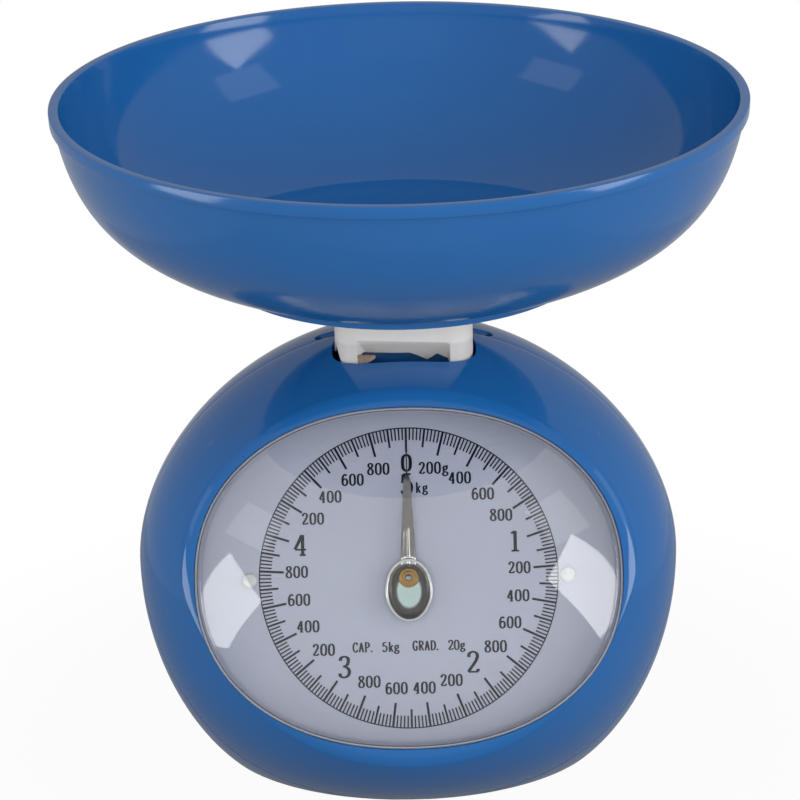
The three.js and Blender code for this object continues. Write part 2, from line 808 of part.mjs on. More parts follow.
// A steel channel: front web, two flanges for the lever pins, a top plate and a foot for the springs.
function loadCarrier() {
  const w = carrierHalfWidth;
  const front = carrierFrontY;
  const flangeBack = front + carrierFlange;
  const web = block(-w, front, carrierFoot, w, front + sheet, carrierTop);
  const top = block(-w, front, carrierTop - sheet, w, neckDepth / 2 - 1, carrierTop);
  const foot = block(-w, front, carrierFoot, w, springY + 6, carrierFoot + sheet);
  const flanges = [
    block(-w, front, carrierFoot, sheet - w, flangeBack, carrierTop),
    block(w - sheet, front, carrierFoot, w, flangeBack, carrierTop),
  ];
  const armSide = rackBack + gap;
  const armFront = rackPin.y - 2.2;
  const arm = sidePrism(
    polygon([
      [front + 0.5, rackPin.z - 5],
      [front + 0.5, rackPin.z + 8],
      [armFront, rackPin.z + 4],
      [armFront, rackPin.z - 3],
    ]),
    armSide,
    armSide + sheet,
  );
  const pinHoles = carrierPins.map((z) =>
    crossRod(pinRadius + gap, -farAway, farAway, carrierPinY, z, 14),
  );
  const rackHole = crossRod(rackPinHole, rackBack, armSide + sheet + 1, rackPin.y, rackPin.z, 12);
  const springHoles = [-springX, springX].map((x) =>
    rod(springWire, carrierFoot - 1, carrierFoot + 3, x, springY, 12),
  );
  return cut(join(web, top, foot, ...flanges, arm), ...pinHoles, rackHole, ...springHoles);
}

function rackHangPin() {
  const armSide = rackBack + gap;
  return crossRod(
    rackPinRadius,
    rackBack - rackDepth + 1.2,
    armSide + sheet + 1,
    rackPin.y,
    rackPin.z,
    12,
  );
}

function carrierPin(z) {
  return crossRod(pinRadius, -leverHalfWidth - 1, leverHalfWidth + 1, carrierPinY, z);
}

function framePin(z) {
  return crossRod(pinRadius, -frameHalfWidth - 1, frameHalfWidth + 1, leverPinY, z);
}

// A lever at its own pivot, lying level along -Y: two arms and the web that joins them.
function lever() {
  const side = new THREE.Shape();
  side.absarc(0, 0, leverEye, -Math.PI / 2, Math.PI / 2);
  side.absarc(-leverArm, 0, leverEye, Math.PI / 2, Math.PI * 1.5);
  const arms = [
    sidePrism(side, -leverHalfWidth, leverSheet - leverHalfWidth, 6),
    sidePrism(side, leverHalfWidth - leverSheet, leverHalfWidth, 6),
  ];
  const web = block(-leverHalfWidth, -12, -leverEye, leverHalfWidth, -7, leverSheet - leverEye);
  const swing = leverArm * (1 - Math.cos(restAngle)); // how far the free end's arc leaves a straight line
  const pivot = crossRod(pinRadius + gap, -farAway, farAway, 0, 0, 12);
  const freeEnd = crossRod(pinRadius + gap + swing, -farAway, farAway, -leverArm, 0, 16);
  return cut(join(...arms, web), pivot, freeEnd);
}

const basePlateBottom = floorTop + gap;
const flangeBottom = basePlateBottom + sheet + gap;

// The frame: two side plates, each a post with a shelf for the hanger, a foot and an arm forward to the
// dial bracket, joined by a back web and a flange.
function mechanismFrame() {
  const armLow = dialPoint(0, -bracketHalfHeight, -4);
  const armHigh = dialPoint(0, bracketHalfHeight, -4);
  const postFront = 20;
  const frameTop = hangerHeight + frameOverHanger;
  const footFront = baseScrewFrontY - 6;
  const outlines = [
    [
      [frameBack, flangeBottom],
      [frameBack, frameTop],
      [postFront, frameTop],
      [postFront, flangeBottom],
    ],
    [
      [postFront + 1, hangerHeight - 9],
      [postFront + 1, frameTop],
      [springY - 7, frameTop],
      [springY - 7, hangerHeight - 5],
    ],
    [
      [postFront + 1, armLow.z - 30],
      [postFront + 1, armHigh.z],
      [armHigh.y, armHigh.z],
      [armLow.y, armLow.z],
      [postFront - 28, armLow.z - 10],
    ],
    [
      [postFront + 1, flangeBottom],
      [postFront + 1, flangeBottom + 9],
      [footFront, flangeBottom + 4],
      [footFront, flangeBottom],
    ],
  ];
  const w = frameHalfWidth;
  const plates = outlines.flatMap((outline) => {
    const side = polygon(outline);
    return [sidePrism(side, -w, sheet - w), sidePrism(side, w - sheet, w)];
  });
  const web = block(-w, frameBack - sheet, upperPinHeight - 30, w, frameBack, frameTop);
  const flange = block(
    -frameFlangeWidth / 2,
    footFront,
    flangeBottom,
    frameFlangeWidth / 2,
    frameBack,
    flangeBottom + sheet,
  );
  const pinHoles = [lowerPinHeight, upperPinHeight].map((z) =>
    crossRod(pinRadius + gap, -farAway, farAway, leverPinY, z, 14),
  );
  const play = zeroLift + gap;
  const slots = block(
    -farAway,
    springY - hangerDepth / 2 - gap,
    hangerHeight - play,
    farAway,
    springY + hangerDepth / 2 + gap,
    hangerHeight + sheet + play,
  );
  const shaftHole = depthRod(zeroShaftRadius + gap, 0, farAway, 0, zeroShaftZ, 16);
  const screwHoles = baseScrewSpots.map(([x, y]) =>
    rod(screwShankRadius + gap, 0, flangeBottom + 5, x, y, 12),
  );
  return cut(join(...plates, web, flange), ...pinHoles, slots, shaftHole, ...screwHoles);
}

function basePlate() {
  const depth = basePlateBack - basePlateFront;
  const outline = roundedRectangle(
    2 * basePlateHalfWidth,
    depth,
    basePlateCorner,
    0,
    basePlateFront + depth / 2,
  );
  const holes = baseScrewSpots.map(([x, y]) => rod(screwShankRadius + gap, 0, 20, x, y, 12));
  return cut(prism(outline, basePlateBottom, basePlateBottom + sheet, 5), ...holes);
}

// ---------------------------------------------------------------- springs and zero setting

const springTop = hangerHeight - gap;
const springBottom = carrierFoot + sheet + gap;

// A close spring with its two ends drawn in to the axis.
function mainSpring() {
  class Coil extends THREE.Curve {
    getPoint(t, target = new THREE.Vector3()) {
      const angle = 2 * Math.PI * springTurns * t;
      const taper = Math.min(1, 0.15 + Math.min(t, 1 - t) * 14);
      const radius = springRadius * taper;
      const z = springBottom + springWire / 2 + (springTop - springBottom - springWire) * t;
      return target.set(radius * Math.cos(angle), radius * Math.sin(angle), z);
    }
  }
  const wire = new THREE.Shape();
  wire.absarc(0, 0, springWire / 2, 0, 2 * Math.PI);
  return new THREE.ExtrudeGeometry(new THREE.Shape(wire.getPoints(2)), {
    extrudePath: new Coil(),
    steps: springTurns * 8,
    bevelEnabled: false,
  });
}

function springHanger() {
  const half = frameHalfWidth + 2;
  const bar = block(
    -half,
    springY - hangerDepth / 2,
    hangerHeight,
    half,
    springY + hangerDepth / 2,
    hangerHeight + sheet,
  );
  const tab = block(-5, springY, hangerHeight, 5, zeroCamY + zeroCamWidth + 2, hangerHeight + sheet);
  return join(bar, tab);
}

// A snail cam on the knob's shaft lifts the hanger's tab in step with the turn.
function zeroShaft() {
  const rise = zeroLift / zeroSwing;
  const reach = zeroSwing + 0.3;
  const points = [];
  const steps = 20;
  for (let i = 0; i <= steps; i++) {
    const angle = -reach + (2 * reach * i) / steps;
    const radius = zeroCamRadius - rise * angle;
    points.push([radius * Math.sin(angle), radius * Math.cos(angle)]);
  }
  points.push([zeroShaftRadius + 1, -zeroShaftRadius - 1]);
  points.push([-zeroShaftRadius - 1, -zeroShaftRadius - 1]);
  const turn = new THREE.Matrix4().makeBasis(
    X,
    new THREE.Vector3(0, 0, 1),
    new THREE.Vector3(0, -1, 0),
  );
  const cam = prism(polygon(points.reverse()), -zeroCamY - zeroCamWidth, -zeroCamY)
    .transform(turn.toArray())
    .translate([0, 0, zeroShaftZ]);
  return join(cam, depthRod(zeroShaftRadius, zeroCamY - 2, knobBossFace + knobLength - 2, 0, zeroShaftZ));
}

// A fluted knob with a blind bore.
function zeroKnob() {
  const outline = [];
  const perFlute = 4;
  for (let i = 0; i < knobFlutes * perFlute; i++) {
    const angle = (2 * Math.PI * i) / (knobFlutes * perFlute);
    const radius = knobRadius - 0.5 + 0.5 * Math.cos(knobFlutes * angle);
    outline.push([radius * Math.cos(angle), radius * Math.sin(angle)]);
  }
  const face = knobBossFace + gap;
  const body = prism(polygon(outline), -face - knobLength, -face).transform(
    new THREE.Matrix4()
      .makeBasis(X, new THREE.Vector3(0, 0, 1), new THREE.Vector3(0, -1, 0))
      .toArray(),
  );
  const bore = depthRod(zeroShaftRadius + gap, 0, knobBossFace + knobLength - 2 + gap, 0, 0, 16);
  return cut(body, bore).translate([0, 0, zeroShaftZ]);
}

// ---------------------------------------------------------------- fasteners and feet

// A pan-head screw, its head from z0 down to its seat, its shank up from there.
function screw(length) {
  const slotted = cut(
    rod(screwHeadRadius, -screwHeadHeight, 0),
    block(-0.4, -farAway, -farAway, 0.4, farAway, 0.9 - screwHeadHeight),
    block(-farAway, -0.4, -farAway, farAway, 0.4, 0.9 - screwHeadHeight),
  );
  return join(slotted, rod(screwShankRadius, -0.5, length, 0, 0, 10));
}

function pad() {
  return turned(
    [
      [0, 0],
      [padRadius - 0.6, 0],
      [padRadius, 0.6],
      [padRadius, padHeight],
      [0, padHeight],
    ],
    18,
  );
}

// ---------------------------------------------------------------- assembly

const scale = new THREE.Group();

function add(parent, name, solid, finishName, position = [0, 0, 0], rotationX = 0) {
  const geometry = solid.isBufferGeometry ? solid : geometryOf(solid);
  const mesh = new THREE.Mesh(geometry, new THREE.MeshStandardMaterial(finish[finishName]));
  mesh.name = name;
  mesh.position.set(...position);
  mesh.rotation.x = rotationX;
  parent.add(mesh);
}

add(scale, "front_housing", frontHousing(), "blue");
add(scale, "rear_housing", rearHousing(), "blue");
add(scale, "base_plate", basePlate(), "steel");
add(scale, "mechanism_frame", mechanismFrame(), "steel");
padSpots.forEach(([x, y], i) => add(scale, `foot_${i + 1}`, pad(), "rubber", [x, y, 0]));

const baseScrewLength = flangeBottom + sheet - baseHeight - screwHeadHeight;
const baseScrewHeight = baseHeight + screwHeadHeight - gap;
baseScrewSpots.forEach(([x, y], i) =>
  add(scale, `base_screw_${i + 1}`, screw(baseScrewLength), "steel", [x, y, baseScrewHeight]),
);

const heelShank = floorTop + heelScrewLength - baseScrewHeight;
heelScrewSpots.forEach(([x, y], i) =>
  add(scale, `heel_screw_${i + 1}`, screw(heelShank), "steel", [x, y, baseScrewHeight]),
);

scale.add(dialFrame);
const housingScrewLength = rearBossFace - screwSeat + screwEngagement;
housingScrewSpots.forEach(([x, y], i) =>
  add(dialFrame, `housing_screw_${i + 1}`, screw(housingScrewLength), "steel", [x, y, screwSeat - gap]),
);
add(dialFrame, "lens", lens(), "clear");
add(dialFrame, "dial_plate", dialPlate(), "dial");
add(dialFrame, "dial_pin_left", dialPin(), "clear", [-dialPinSpacing / 2, 0, 0]);
add(dialFrame, "dial_pin_right", dialPin(), "clear", [dialPinSpacing / 2, 0, 0]);
add(dialFrame, "dial_bracket", dialBracket(), "steel");
add(dialFrame, "pinion_bridge", pinionBridge(), "steel");
add(dialFrame, "pointer_shaft", pointerShaft(), "steel");
add(dialFrame, "pinion", pinion(), "brass");
add(dialFrame, "pointer_hub", pointerHub(), "brass");
add(dialFrame, "pointer", pointer(), "chrome");

add(scale, "bowl", bowl(), "blue");
add(scale, "platform", platform(), "blue");
add(scale, "platform_screw", platformScrew(), "steel");
add(scale, "neck", neckPost(), "blue");
add(scale, "neck_sleeve", neckSleeve(), "card");
add(scale, "load_carrier", loadCarrier(), "steel");
add(scale, "rack", hungRack(), "brass");
add(scale, "rack_pin", rackHangPin(), "steel");
add(scale, "lower_carrier_pin", carrierPin(carrierPins[0]), "steel");
add(scale, "upper_carrier_pin", carrierPin(carrierPins[1]), "steel");

add(scale, "lower_frame_pin", framePin(lowerPinHeight), "steel");
add(scale, "upper_frame_pin", framePin(upperPinHeight), "steel");
const leverTurn = -restAngle;
add(scale, "lower_lever", lever(), "steel", [0, leverPinY, lowerPinHeight], leverTurn);
add(scale, "upper_lever", lever(), "steel", [0, leverPinY, upperPinHeight], leverTurn);

add(scale, "spring_hanger", springHanger(), "steel");
add(scale, "spring_left", mainSpring(), "steel", [-springX, springY, 0]);
add(scale, "spring_right", mainSpring(), "steel", [springX, springY, 0]);
add(scale, "zero_shaft", zeroShaft(), "steel");
add(scale, "zero_knob", zeroKnob(), "blue");

export default scale;
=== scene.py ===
import functools
import math

import bmesh
import bpy
from mathutils import Matrix, Vector, noise


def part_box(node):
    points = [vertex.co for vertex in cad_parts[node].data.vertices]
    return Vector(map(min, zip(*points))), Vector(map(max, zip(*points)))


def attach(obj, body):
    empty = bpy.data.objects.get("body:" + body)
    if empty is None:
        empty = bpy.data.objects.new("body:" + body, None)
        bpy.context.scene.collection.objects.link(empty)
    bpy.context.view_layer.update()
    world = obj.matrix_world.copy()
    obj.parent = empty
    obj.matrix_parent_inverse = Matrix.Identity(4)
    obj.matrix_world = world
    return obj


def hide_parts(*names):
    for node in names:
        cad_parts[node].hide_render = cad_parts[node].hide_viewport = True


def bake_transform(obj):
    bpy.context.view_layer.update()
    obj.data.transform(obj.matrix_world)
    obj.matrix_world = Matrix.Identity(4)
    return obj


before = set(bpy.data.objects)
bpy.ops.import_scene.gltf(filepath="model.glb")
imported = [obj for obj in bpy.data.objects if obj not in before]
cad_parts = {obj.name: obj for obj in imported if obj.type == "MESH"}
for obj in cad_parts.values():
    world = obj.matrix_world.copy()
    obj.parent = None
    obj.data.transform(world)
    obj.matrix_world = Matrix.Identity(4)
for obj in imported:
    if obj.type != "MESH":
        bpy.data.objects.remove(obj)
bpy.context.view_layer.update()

# ---------------------------------------------------------------- camera
# The camera stands a long arm's reach in front of the scale and looks a little down into the bowl.
# It leans by about a degree, so the scale seems turned slightly to the left.
camera_distance = 1.300
camera_pitch = math.radians(21.51)
camera_lean = math.radians(-1.2)
camera_aim = Vector((-0.0017, 0, 0.1259))
towards_camera = Vector((0, -math.cos(camera_pitch), math.sin(camera_pitch)))
bpy.ops.object.camera_add(location=camera_aim + towards_camera * camera_distance)
camera = bpy.context.object
camera.rotation_euler = (
    Matrix.Rotation(math.pi / 2 - camera_pitch, 3, "X") @ Matrix.Rotation(camera_lean, 3, "Z")
).to_euler()
camera.data.sensor_width = 36
camera.data.lens = 171.7
camera.data.clip_end = 30
bpy.context.scene.camera = camera
bpy.context.scene.view_settings.view_transform = "Standard"

# ---------------------------------------------------------------- studio
# A small white table in a white room, seen nearly white with the scale's soft shadow. A tall softbox
# stands low at each side of it, with a dimmer one above. Three wide fills, overhead, in front and at
# the right, are kept out of the gloss and the glass.
floor_white = "828282"
floor_size = 0.54
shadow_share = 0.04
shadow_start, shadow_end = 0.11, 0.24
gloss_share = 0.22
room_strength = 0.31


def linear(hex_colour):
    """An sRGB hex colour as linear red, green, blue and 1."""
    values = [int(hex_colour[i : i + 2], 16) / 255 for i in (0, 2, 4)]
    return [v / 12.92 if v <= 0.04045 else ((v + 0.055) / 1.055) ** 2.4 for v in values] + [1]


def add_node(tree, kind, inputs=(), **settings):
    """Adds a node. Each input, by name or in order, is a value, a socket or a node's main output."""
    made = tree.nodes.new("ShaderNode" + kind)
    for name, value in settings.items():
        setattr(made, name, value)
    for name, value in inputs.items() if isinstance(inputs, dict) else enumerate(inputs):
        if isinstance(value, bpy.types.Node):
            value = next(socket for socket in value.outputs if socket.enabled)
        if isinstance(value, bpy.types.NodeSocket):
            tree.links.new(value, made.inputs[name])
        else:
            made.inputs[name].default_value = value
    return made


def start_nodes(owner):
    """Clears a material's or a world's nodes, and returns what adds one."""
    owner.use_nodes = True
    owner.node_tree.nodes.clear()
    return functools.partial(add_node, owner.node_tree)


def new_material(name):
    """An empty material, what adds a node to it, and where each point lies on the scale."""
    material = bpy.data.materials.new(name)
    node = start_nodes(material)
    return material, node, node("TexCoord").outputs["Object"]


def seen_directly(node):
    """1 for rays from the camera and through glass, gloss_share for those from gloss, else 0."""
    path = node("LightPath").outputs
    in_gloss = node("Math", [path["Is Glossy Ray"], gloss_share], operation="MULTIPLY")
    either = node("Math", [path["Is Camera Ray"], path["Is Transmission Ray"]], operation="MAXIMUM")
    return node("Math", [either, in_gloss], operation="MAXIMUM")


bpy.ops.mesh.primitive_plane_add(size=floor_size, location=(0, 0, -0.0001))
studio_floor = bpy.context.object
studio_floor.name = "studio_floor"

# Matt white paper, which the camera sees as pure white but for the share of shadow near the scale.
paper_floor, node, floor_place = new_material("white_paper_floor")
matt_white = node("BsdfDiffuse", {"Color": linear(floor_white)})
full_white = node("Emission", {"Color": (1, 1, 1, 1), "Strength": 1.0})
from_scale = node("VectorMath", [floor_place], operation="LENGTH")
clear_share = node(
    "MapRange", [from_scale, shadow_start, shadow_end, 1 - shadow_share, 1.0],
    interpolation_type="SMOOTHSTEP",
)
direct = node("Math", [seen_directly(node), clear_share], operation="MULTIPLY")
node("OutputMaterial", {"Surface": node("MixShader", [direct, matt_white, full_white])})
studio_floor.data.materials.append(paper_floor)

world = bpy.data.worlds.new("studio_air")
bpy.context.scene.world = world
node = start_nodes(world)
room_light = node("Background", {"Color": (1, 1, 1, 1), "Strength": room_strength})
room_white = node("Background", {"Color": (1, 1, 1, 1), "Strength": 1.0})
node("OutputWorld", {"Surface": node("MixShader", [seen_directly(node), room_light, room_white])})

scale_middle = Vector((0, 0, 0.12))
for name, stand, width, height, watts, roll, in_gloss in [
    ("low_left", (-1.0, -0.455, 0.07), 0.42, 0.66, 3.2, -28, True),
    ("low_right", (1.0, -0.48, 0.185), 0.40, 0.70, 3.7, 31, True),
    ("high_left", (-1.02, -0.50, 0.80), 0.46, 0.36, 0.35, 0, True),
    ("high_right", (1.02, -0.50, 0.84), 0.46, 0.46, 0.5, 0, True),
    ("overhead", (0, -0.6, 2.2), 1.8, 1.8, 10.0, 0, False),
    ("front_fill", (0, -2.3, 0.85), 1.6, 0.9, 28.0, 0, False),
    ("side_fill", (1.5, -0.7, 0.9), 0.9, 0.9, 7.0, 0, False),
]:
    bpy.ops.object.light_add(type="AREA", location=stand)
    lamp = bpy.context.object
    lamp.name = name
    lamp.data.shape = "RECTANGLE"
    lamp.data.size, lamp.data.size_y = width, height
    lamp.data.energy = watts
    facing = (scale_middle - Vector(stand)).to_track_quat("-Z", "Y").to_matrix()
    lamp.rotation_euler = (facing @ Matrix.Rotation(math.radians(roll), 3, "Z")).to_euler()
    lamp.visible_glossy = lamp.visible_transmission = in_gloss

# ---------------------------------------------------------------- bowl
# The weighing bowl is one moulding in glossy blue ABS: a ring for a foot, a wall of even thickness
# and a square lip. Nothing fixes it, and it lifts straight off the platform.
mm = 0.001  # sizes are in millimetres, and Blender's are in metres
foot_radius = 62
foot_wall = 3
foot_height = 174.3
bowl_underside = 178.6
bowl_wall = 2.2
rim_radius = 115.7
rim_height = 234
lip_height = 4
lip_overhang = 1.5
lip_width = 3.3
moulding_radius = 0.45
blue_pigment = "1B5C9C"
blue_pigment_thin = "1F63A6"


def leave_edit_mode():
    """Back to object mode with nothing selected."""
    if bpy.context.object and bpy.context.object.mode == "EDIT":
        bpy.ops.object.mode_set(mode="OBJECT")
    bpy.ops.object.select_all(action="DESELECT")


def pick(piece):
    """Makes this the only selected object, and the active one."""
    leave_edit_mode()
    piece.select_set(True)
    bpy.context.view_layer.objects.active = piece


def edit(piece, action="SELECT"):
    """Opens a piece in edit mode, with all of it selected or nothing."""
    pick(piece)
    bpy.ops.object.mode_set(mode="EDIT")
    bpy.ops.mesh.select_all(action=action)


def apply_modifier(piece, kind, **settings):
    """Adds a modifier, sets it and applies it at once."""
    pick(piece)
    modifier = piece.modifiers.new(kind.lower(), kind)
    for name, value in settings.items():
        setattr(modifier, name, value)
    bpy.ops.object.modifier_apply(modifier=modifier.name)


def round_edges(piece, width, segments=3, angle=28):
    """Rounds every edge sharper than the angle, as a mould's edges are."""
    limit = math.radians(angle)
    apply_modifier(
        piece, "BEVEL", width=width * mm, segments=segments, limit_method="ANGLE", angle_limit=limit,
        harden_normals=False,
    )


def face_outwards(piece):
    """Merges doubled points and turns every face outwards."""
    edit(piece)
    bpy.ops.mesh.remove_doubles(threshold=0.000002)
    bpy.ops.mesh.normals_make_consistent(inside=False)
    leave_edit_mode()


def smooth(piece, angle=30):
    """Shades curved faces smooth and keeps the creases."""
    pick(piece)
    bpy.ops.object.shade_smooth_by_angle(angle=math.radians(angle))


def turn_on_lathe(name, profile, segments):
    """A closed turned piece: a disc extruded from each (radius, height) of the profile to the next."""
    leave_edit_mode()
    radius, height = profile[0]
    bpy.ops.mesh.primitive_circle_add(
        vertices=segments, radius=radius * mm, fill_type="NGON", location=(0, 0, height * mm),
    )
    piece = bpy.context.object
    piece.name = name
    bpy.ops.object.transform_apply(location=True)
    edit(piece)
    for next_radius, next_height in profile[1:]:
        step_up = (0, 0, (next_height - height) * mm)
        bpy.ops.mesh.extrude_region_move(TRANSFORM_OT_translate={"value": step_up})
        share = next_radius / radius
        bpy.ops.transform.resize(value=(share, share, 1), center_override=(0, 0, next_height * mm))
        radius, height = next_radius, next_height
    leave_edit_mode()
    face_outwards(piece)
    return piece


def bezier(points, t):
    """A point and a unit tangent on a cubic curve of four (radius, height) points."""
    a, b, c, d = (Vector(p) for p in points)
    s = 1 - t
    spot = a * s**3 + b * 3 * s * s * t + c * 3 * s * t * t + d * t**3
    along = ((b - a) * s * s + (c - b) * 2 * s * t + (d - c) * t * t).normalized()
    return spot, along


wall_top = rim_height - lip_height
wall_radius = rim_radius - lip_overhang
foot_top = bowl_underside - 1.4
floor_top = bowl_underside + bowl_wall
wall_curve = [
    (foot_radius + 2, foot_top), (foot_radius + 38, foot_top + 12.6),
    (wall_radius - 4.5, wall_top - 25), (wall_radius, wall_top),
]
wall_steps = 28
outer_wall = []
inner_wall = []
for i in range(wall_steps + 1):
    spot, along = bezier(wall_curve, i / wall_steps)
    outer_wall.append(tuple(spot))
    inner_wall.insert(0, (spot.x - bowl_wall * along.y, spot.y + bowl_wall * along.x))
bowl_profile = [
    (3, bowl_underside), (foot_radius - foot_wall, bowl_underside),
    (foot_radius - foot_wall + 0.4, foot_height), (foot_radius - 0.3, foot_height),
    (foot_radius, foot_top - 1.0), (foot_radius + 0.55, foot_top - 0.75),
    (foot_radius + 0.55, foot_top - 0.1), *outer_wall, (rim_radius - 0.2, wall_top),
    (rim_radius, rim_height), (rim_radius - lip_width, rim_height),
    *[p for p in inner_wall if p[1] > floor_top + 0.5], (foot_radius + 3, floor_top),
    (foot_radius - 22, floor_top + 0.15), (12, floor_top + 0.3),
]
bowl_shell = turn_on_lathe("bowl_shell", bowl_profile, 224)
round_edges(bowl_shell, moulding_radius, 3, 26)
smooth(bowl_shell, 34)

# ABS coloured right through and moulded in a polished tool. The gloss is a little soft, the surface
# waves faintly as cooled plastic does, and it carries fine rub marks and a few dark specks.
blue_abs, node, blue_place = new_material("blue_abs")
flow_lines = node("TexNoise", {"Vector": blue_place, "Scale": 16, "Detail": 3, "Roughness": 0.55})
pigment = node(
    "Mix", {"Factor": flow_lines, "A": linear(blue_pigment), "B": linear(blue_pigment_thin)},
    data_type="RGBA",
)
speck_field = node("TexVoronoi", {"Vector": blue_place, "Scale": 95, "Randomness": 1.0})
speck = node("MapRange", [speck_field, 0.022, 0.030, 1, 0])
speck_patches = node("TexNoise", {"Vector": blue_place, "Scale": 31, "Detail": 1})
speck_here = node("MapRange", [speck_patches, 0.60, 0.66, 0, 0.6])
speck_mask = node("Math", [speck, speck_here], operation="MULTIPLY")
specked = node("Mix", {"Factor": speck_mask, "A": pigment, "B": linear("101C30")}, data_type="RGBA")
rub_direction = node("Mapping", {
    "Vector": blue_place, "Scale": (90, 90, 900), "Rotation": (0.5, 0.35, 0),
})
rub_marks = node("TexNoise", {"Vector": rub_direction, "Scale": 1, "Detail": 4, "Roughness": 0.7})
gloss = node("MapRange", [rub_marks, 0.35, 0.75, 0.13, 0.22])
blue_facing = node("SeparateXYZ", {"Vector": node("TexCoord").outputs["Normal"]})
polish = node("MapRange", [blue_facing.outputs["Z"], 0.0, 0.3, 1.0, 0.5])
blue_gloss = node("Math", [gloss, polish], operation="MULTIPLY")
cooling_waves = node("TexNoise", {"Vector": blue_place, "Scale": 55, "Detail": 2, "Roughness": 0.4})
fine_skin = node("TexNoise", {"Vector": blue_place, "Scale": 1400, "Detail": 2, "Roughness": 0.5})
wave_bump = node("Bump", {"Height": cooling_waves, "Strength": 0.10, "Distance": 0.0008})
skin_bump = node("Bump", {
    "Height": fine_skin, "Strength": 0.10, "Distance": 0.00003, "Normal": wave_bump,
})
surface = node("BsdfPrincipled", {
    "Base Color": specked, "Roughness": blue_gloss, "IOR": 1.5, "Normal": skin_bump,
})
node("OutputMaterial", {"Surface": surface})


def finish(piece, material, body, slot, *cad_nodes):
    """Gives a piece its material and body, and hides the CAD nodes it stands for; the slot is not used.
    """
    piece.data.materials.clear()
    piece.data.materials.append(material)
    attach(piece, body)
    for cad_node in cad_nodes:
        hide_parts(cad_node)


finish(bowl_shell, blue_abs, "bowl", "blue_plastic", "bowl")

# ---------------------------------------------------------------- housings
# Two egg-shaped shells of the same blue ABS meet on a plane behind the dial. The front shell carries
# the window in a flat land, the rear one the floor, and both share the hole that the neck runs in.
# The egg's level sections: at the base, at the waist, and how they close towards the crown.
base_height = 1
base_half_width, base_half_depth, base_centre = 66.5, 53, 1
waist_height = 74
waist_half_width, waist_half_depth, waist_centre = 92, 75.5, -8.3
crown_height = 148.6
crown_lean = 22.6
crown_fullness = 1.95
flank_power, heel_power = 2.06, 3.5
# The walls, the seam, and the window in its land, with depths counted from the dial's face.
shell_wall = 2.5
floor_thickness = 3
seam_depth = 21
seam_gap, seat_gap = 0.06, 0.3
land_height = 11
land_radius = 3.2
land_thickness = 3.5
window_half_width, window_half_height = 71.4, 56.9
window_squareness = 2.2
lens_ledge = 1.25
lens_seat = 9.2
dial_lean = math.radians(24)
dial_middle = Vector((0, -42, 78.4)) * mm
dial_frame = Matrix.Translation(dial_middle) @ Matrix.Rotation(math.pi / 2 - dial_lean, 4, "X")
# The neck's hole, and the slot behind it that ends in two ears.
neck_hole_half_width, neck_hole_half_depth, neck_hole_squareness = 24.4, 12, 3.2
neck_hole_bottom, above_crown = 121, 200
ear_reach, ear_width, ear_y = 30.5, 5, 13
# Where the screws and the feet go, and the radii of their holes.
housing_screw_x, housing_screw_y = 62, 44
housing_screw_seat = -26.2
heel_screw_x, heel_screw_y = 26, -40
thread_hole, head_hole, boss_radius = 1.6, 3.3, 4
long_thread_depth, heel_thread_depth, heel_boss_height = 10.3, 9.3, 11.3
base_screw_places = [(-29, -12), (29, -12), (-29, 38), (29, 38)]
foot_places = [(-44, -26), (44, -26), (-44, 28), (44, 28)]
foot_recess, foot_recess_depth = 6.8, 2.5
# The zero knob's boss on the back.
knob_height = 94.1
knob_boss_radius = 15
knob_boss_rise = 2
zero_shaft_hole = 2.3
shell_segments = 208


def egg_section(z, inset):
    """Half width, half depth and middle of the egg's level section, its skin moved in by inset."""
    crown = crown_height - inset
    if z >= waist_height:
        rise = min((z - waist_height) / (crown - waist_height), 1)
        share = max(1 - rise**crown_fullness, 0) ** (1 / crown_fullness)
        return (
            (waist_half_width - inset) * share, (waist_half_depth - inset) * share,
            waist_centre + crown_lean * rise * rise,
        )
    fall = (waist_height - z) / waist_height
    heel = fall**heel_power
    return (
        waist_half_width - inset - (waist_half_width - base_half_width) * fall**flank_power,
        waist_half_depth - inset - (waist_half_depth - base_half_depth) * heel,
        waist_centre + (base_centre - waist_centre) * heel,
    )


def in_egg(spot, inset):
    """True if a point in metres lies inside the egg."""
    x, y, z = spot / mm
    half_width, half_depth, middle = egg_section(z, inset)
    if half_width <= 0.01 or half_depth <= 0.01:
        return False
    return (x / half_width) ** 2 + ((y - middle) / half_depth) ** 2 < 1


def reach(start, direction, inset):
    """How far the egg's skin is from a point inside it, in metres."""
    near, far = 0.0, 0.2
    for _ in range(22):
        half = (near + far) / 2
        if in_egg(start + direction * half, inset):
            near = half
        else:
            far = half
    return near


def turns(count):
    """Even angles once round a circle."""
    return [2 * math.pi * i / count for i in range(count)]


def egg_slices(depths, inset):
    """Rings where planes parallel to the dial cut the egg, at depths in millimetres over the dial."""
    dial_turn = dial_frame.to_3x3()
    up_dial = dial_frame.col[1].to_3d()
    height = 0.0
    rings = []
    for depth in depths:
        middle = dial_frame @ Vector((0, height, depth * mm))
        above = reach(middle, up_dial, inset)
        below = reach(middle, -up_dial, inset)
        height += (above - below) / 2
        middle = dial_frame @ Vector((0, height, depth * mm))
        directions = [
            dial_turn @ Vector((math.cos(angle), math.sin(angle), 0)) for angle in turns(shell_segments)
        ]
        rings.append([middle + direction * reach(middle, direction, inset) for direction in directions])
    return rings


def linked(name, mesh):
    """A new object of the scene that holds this mesh."""
    piece = bpy.data.objects.new(name, mesh)
    bpy.context.scene.collection.objects.link(piece)
    return piece


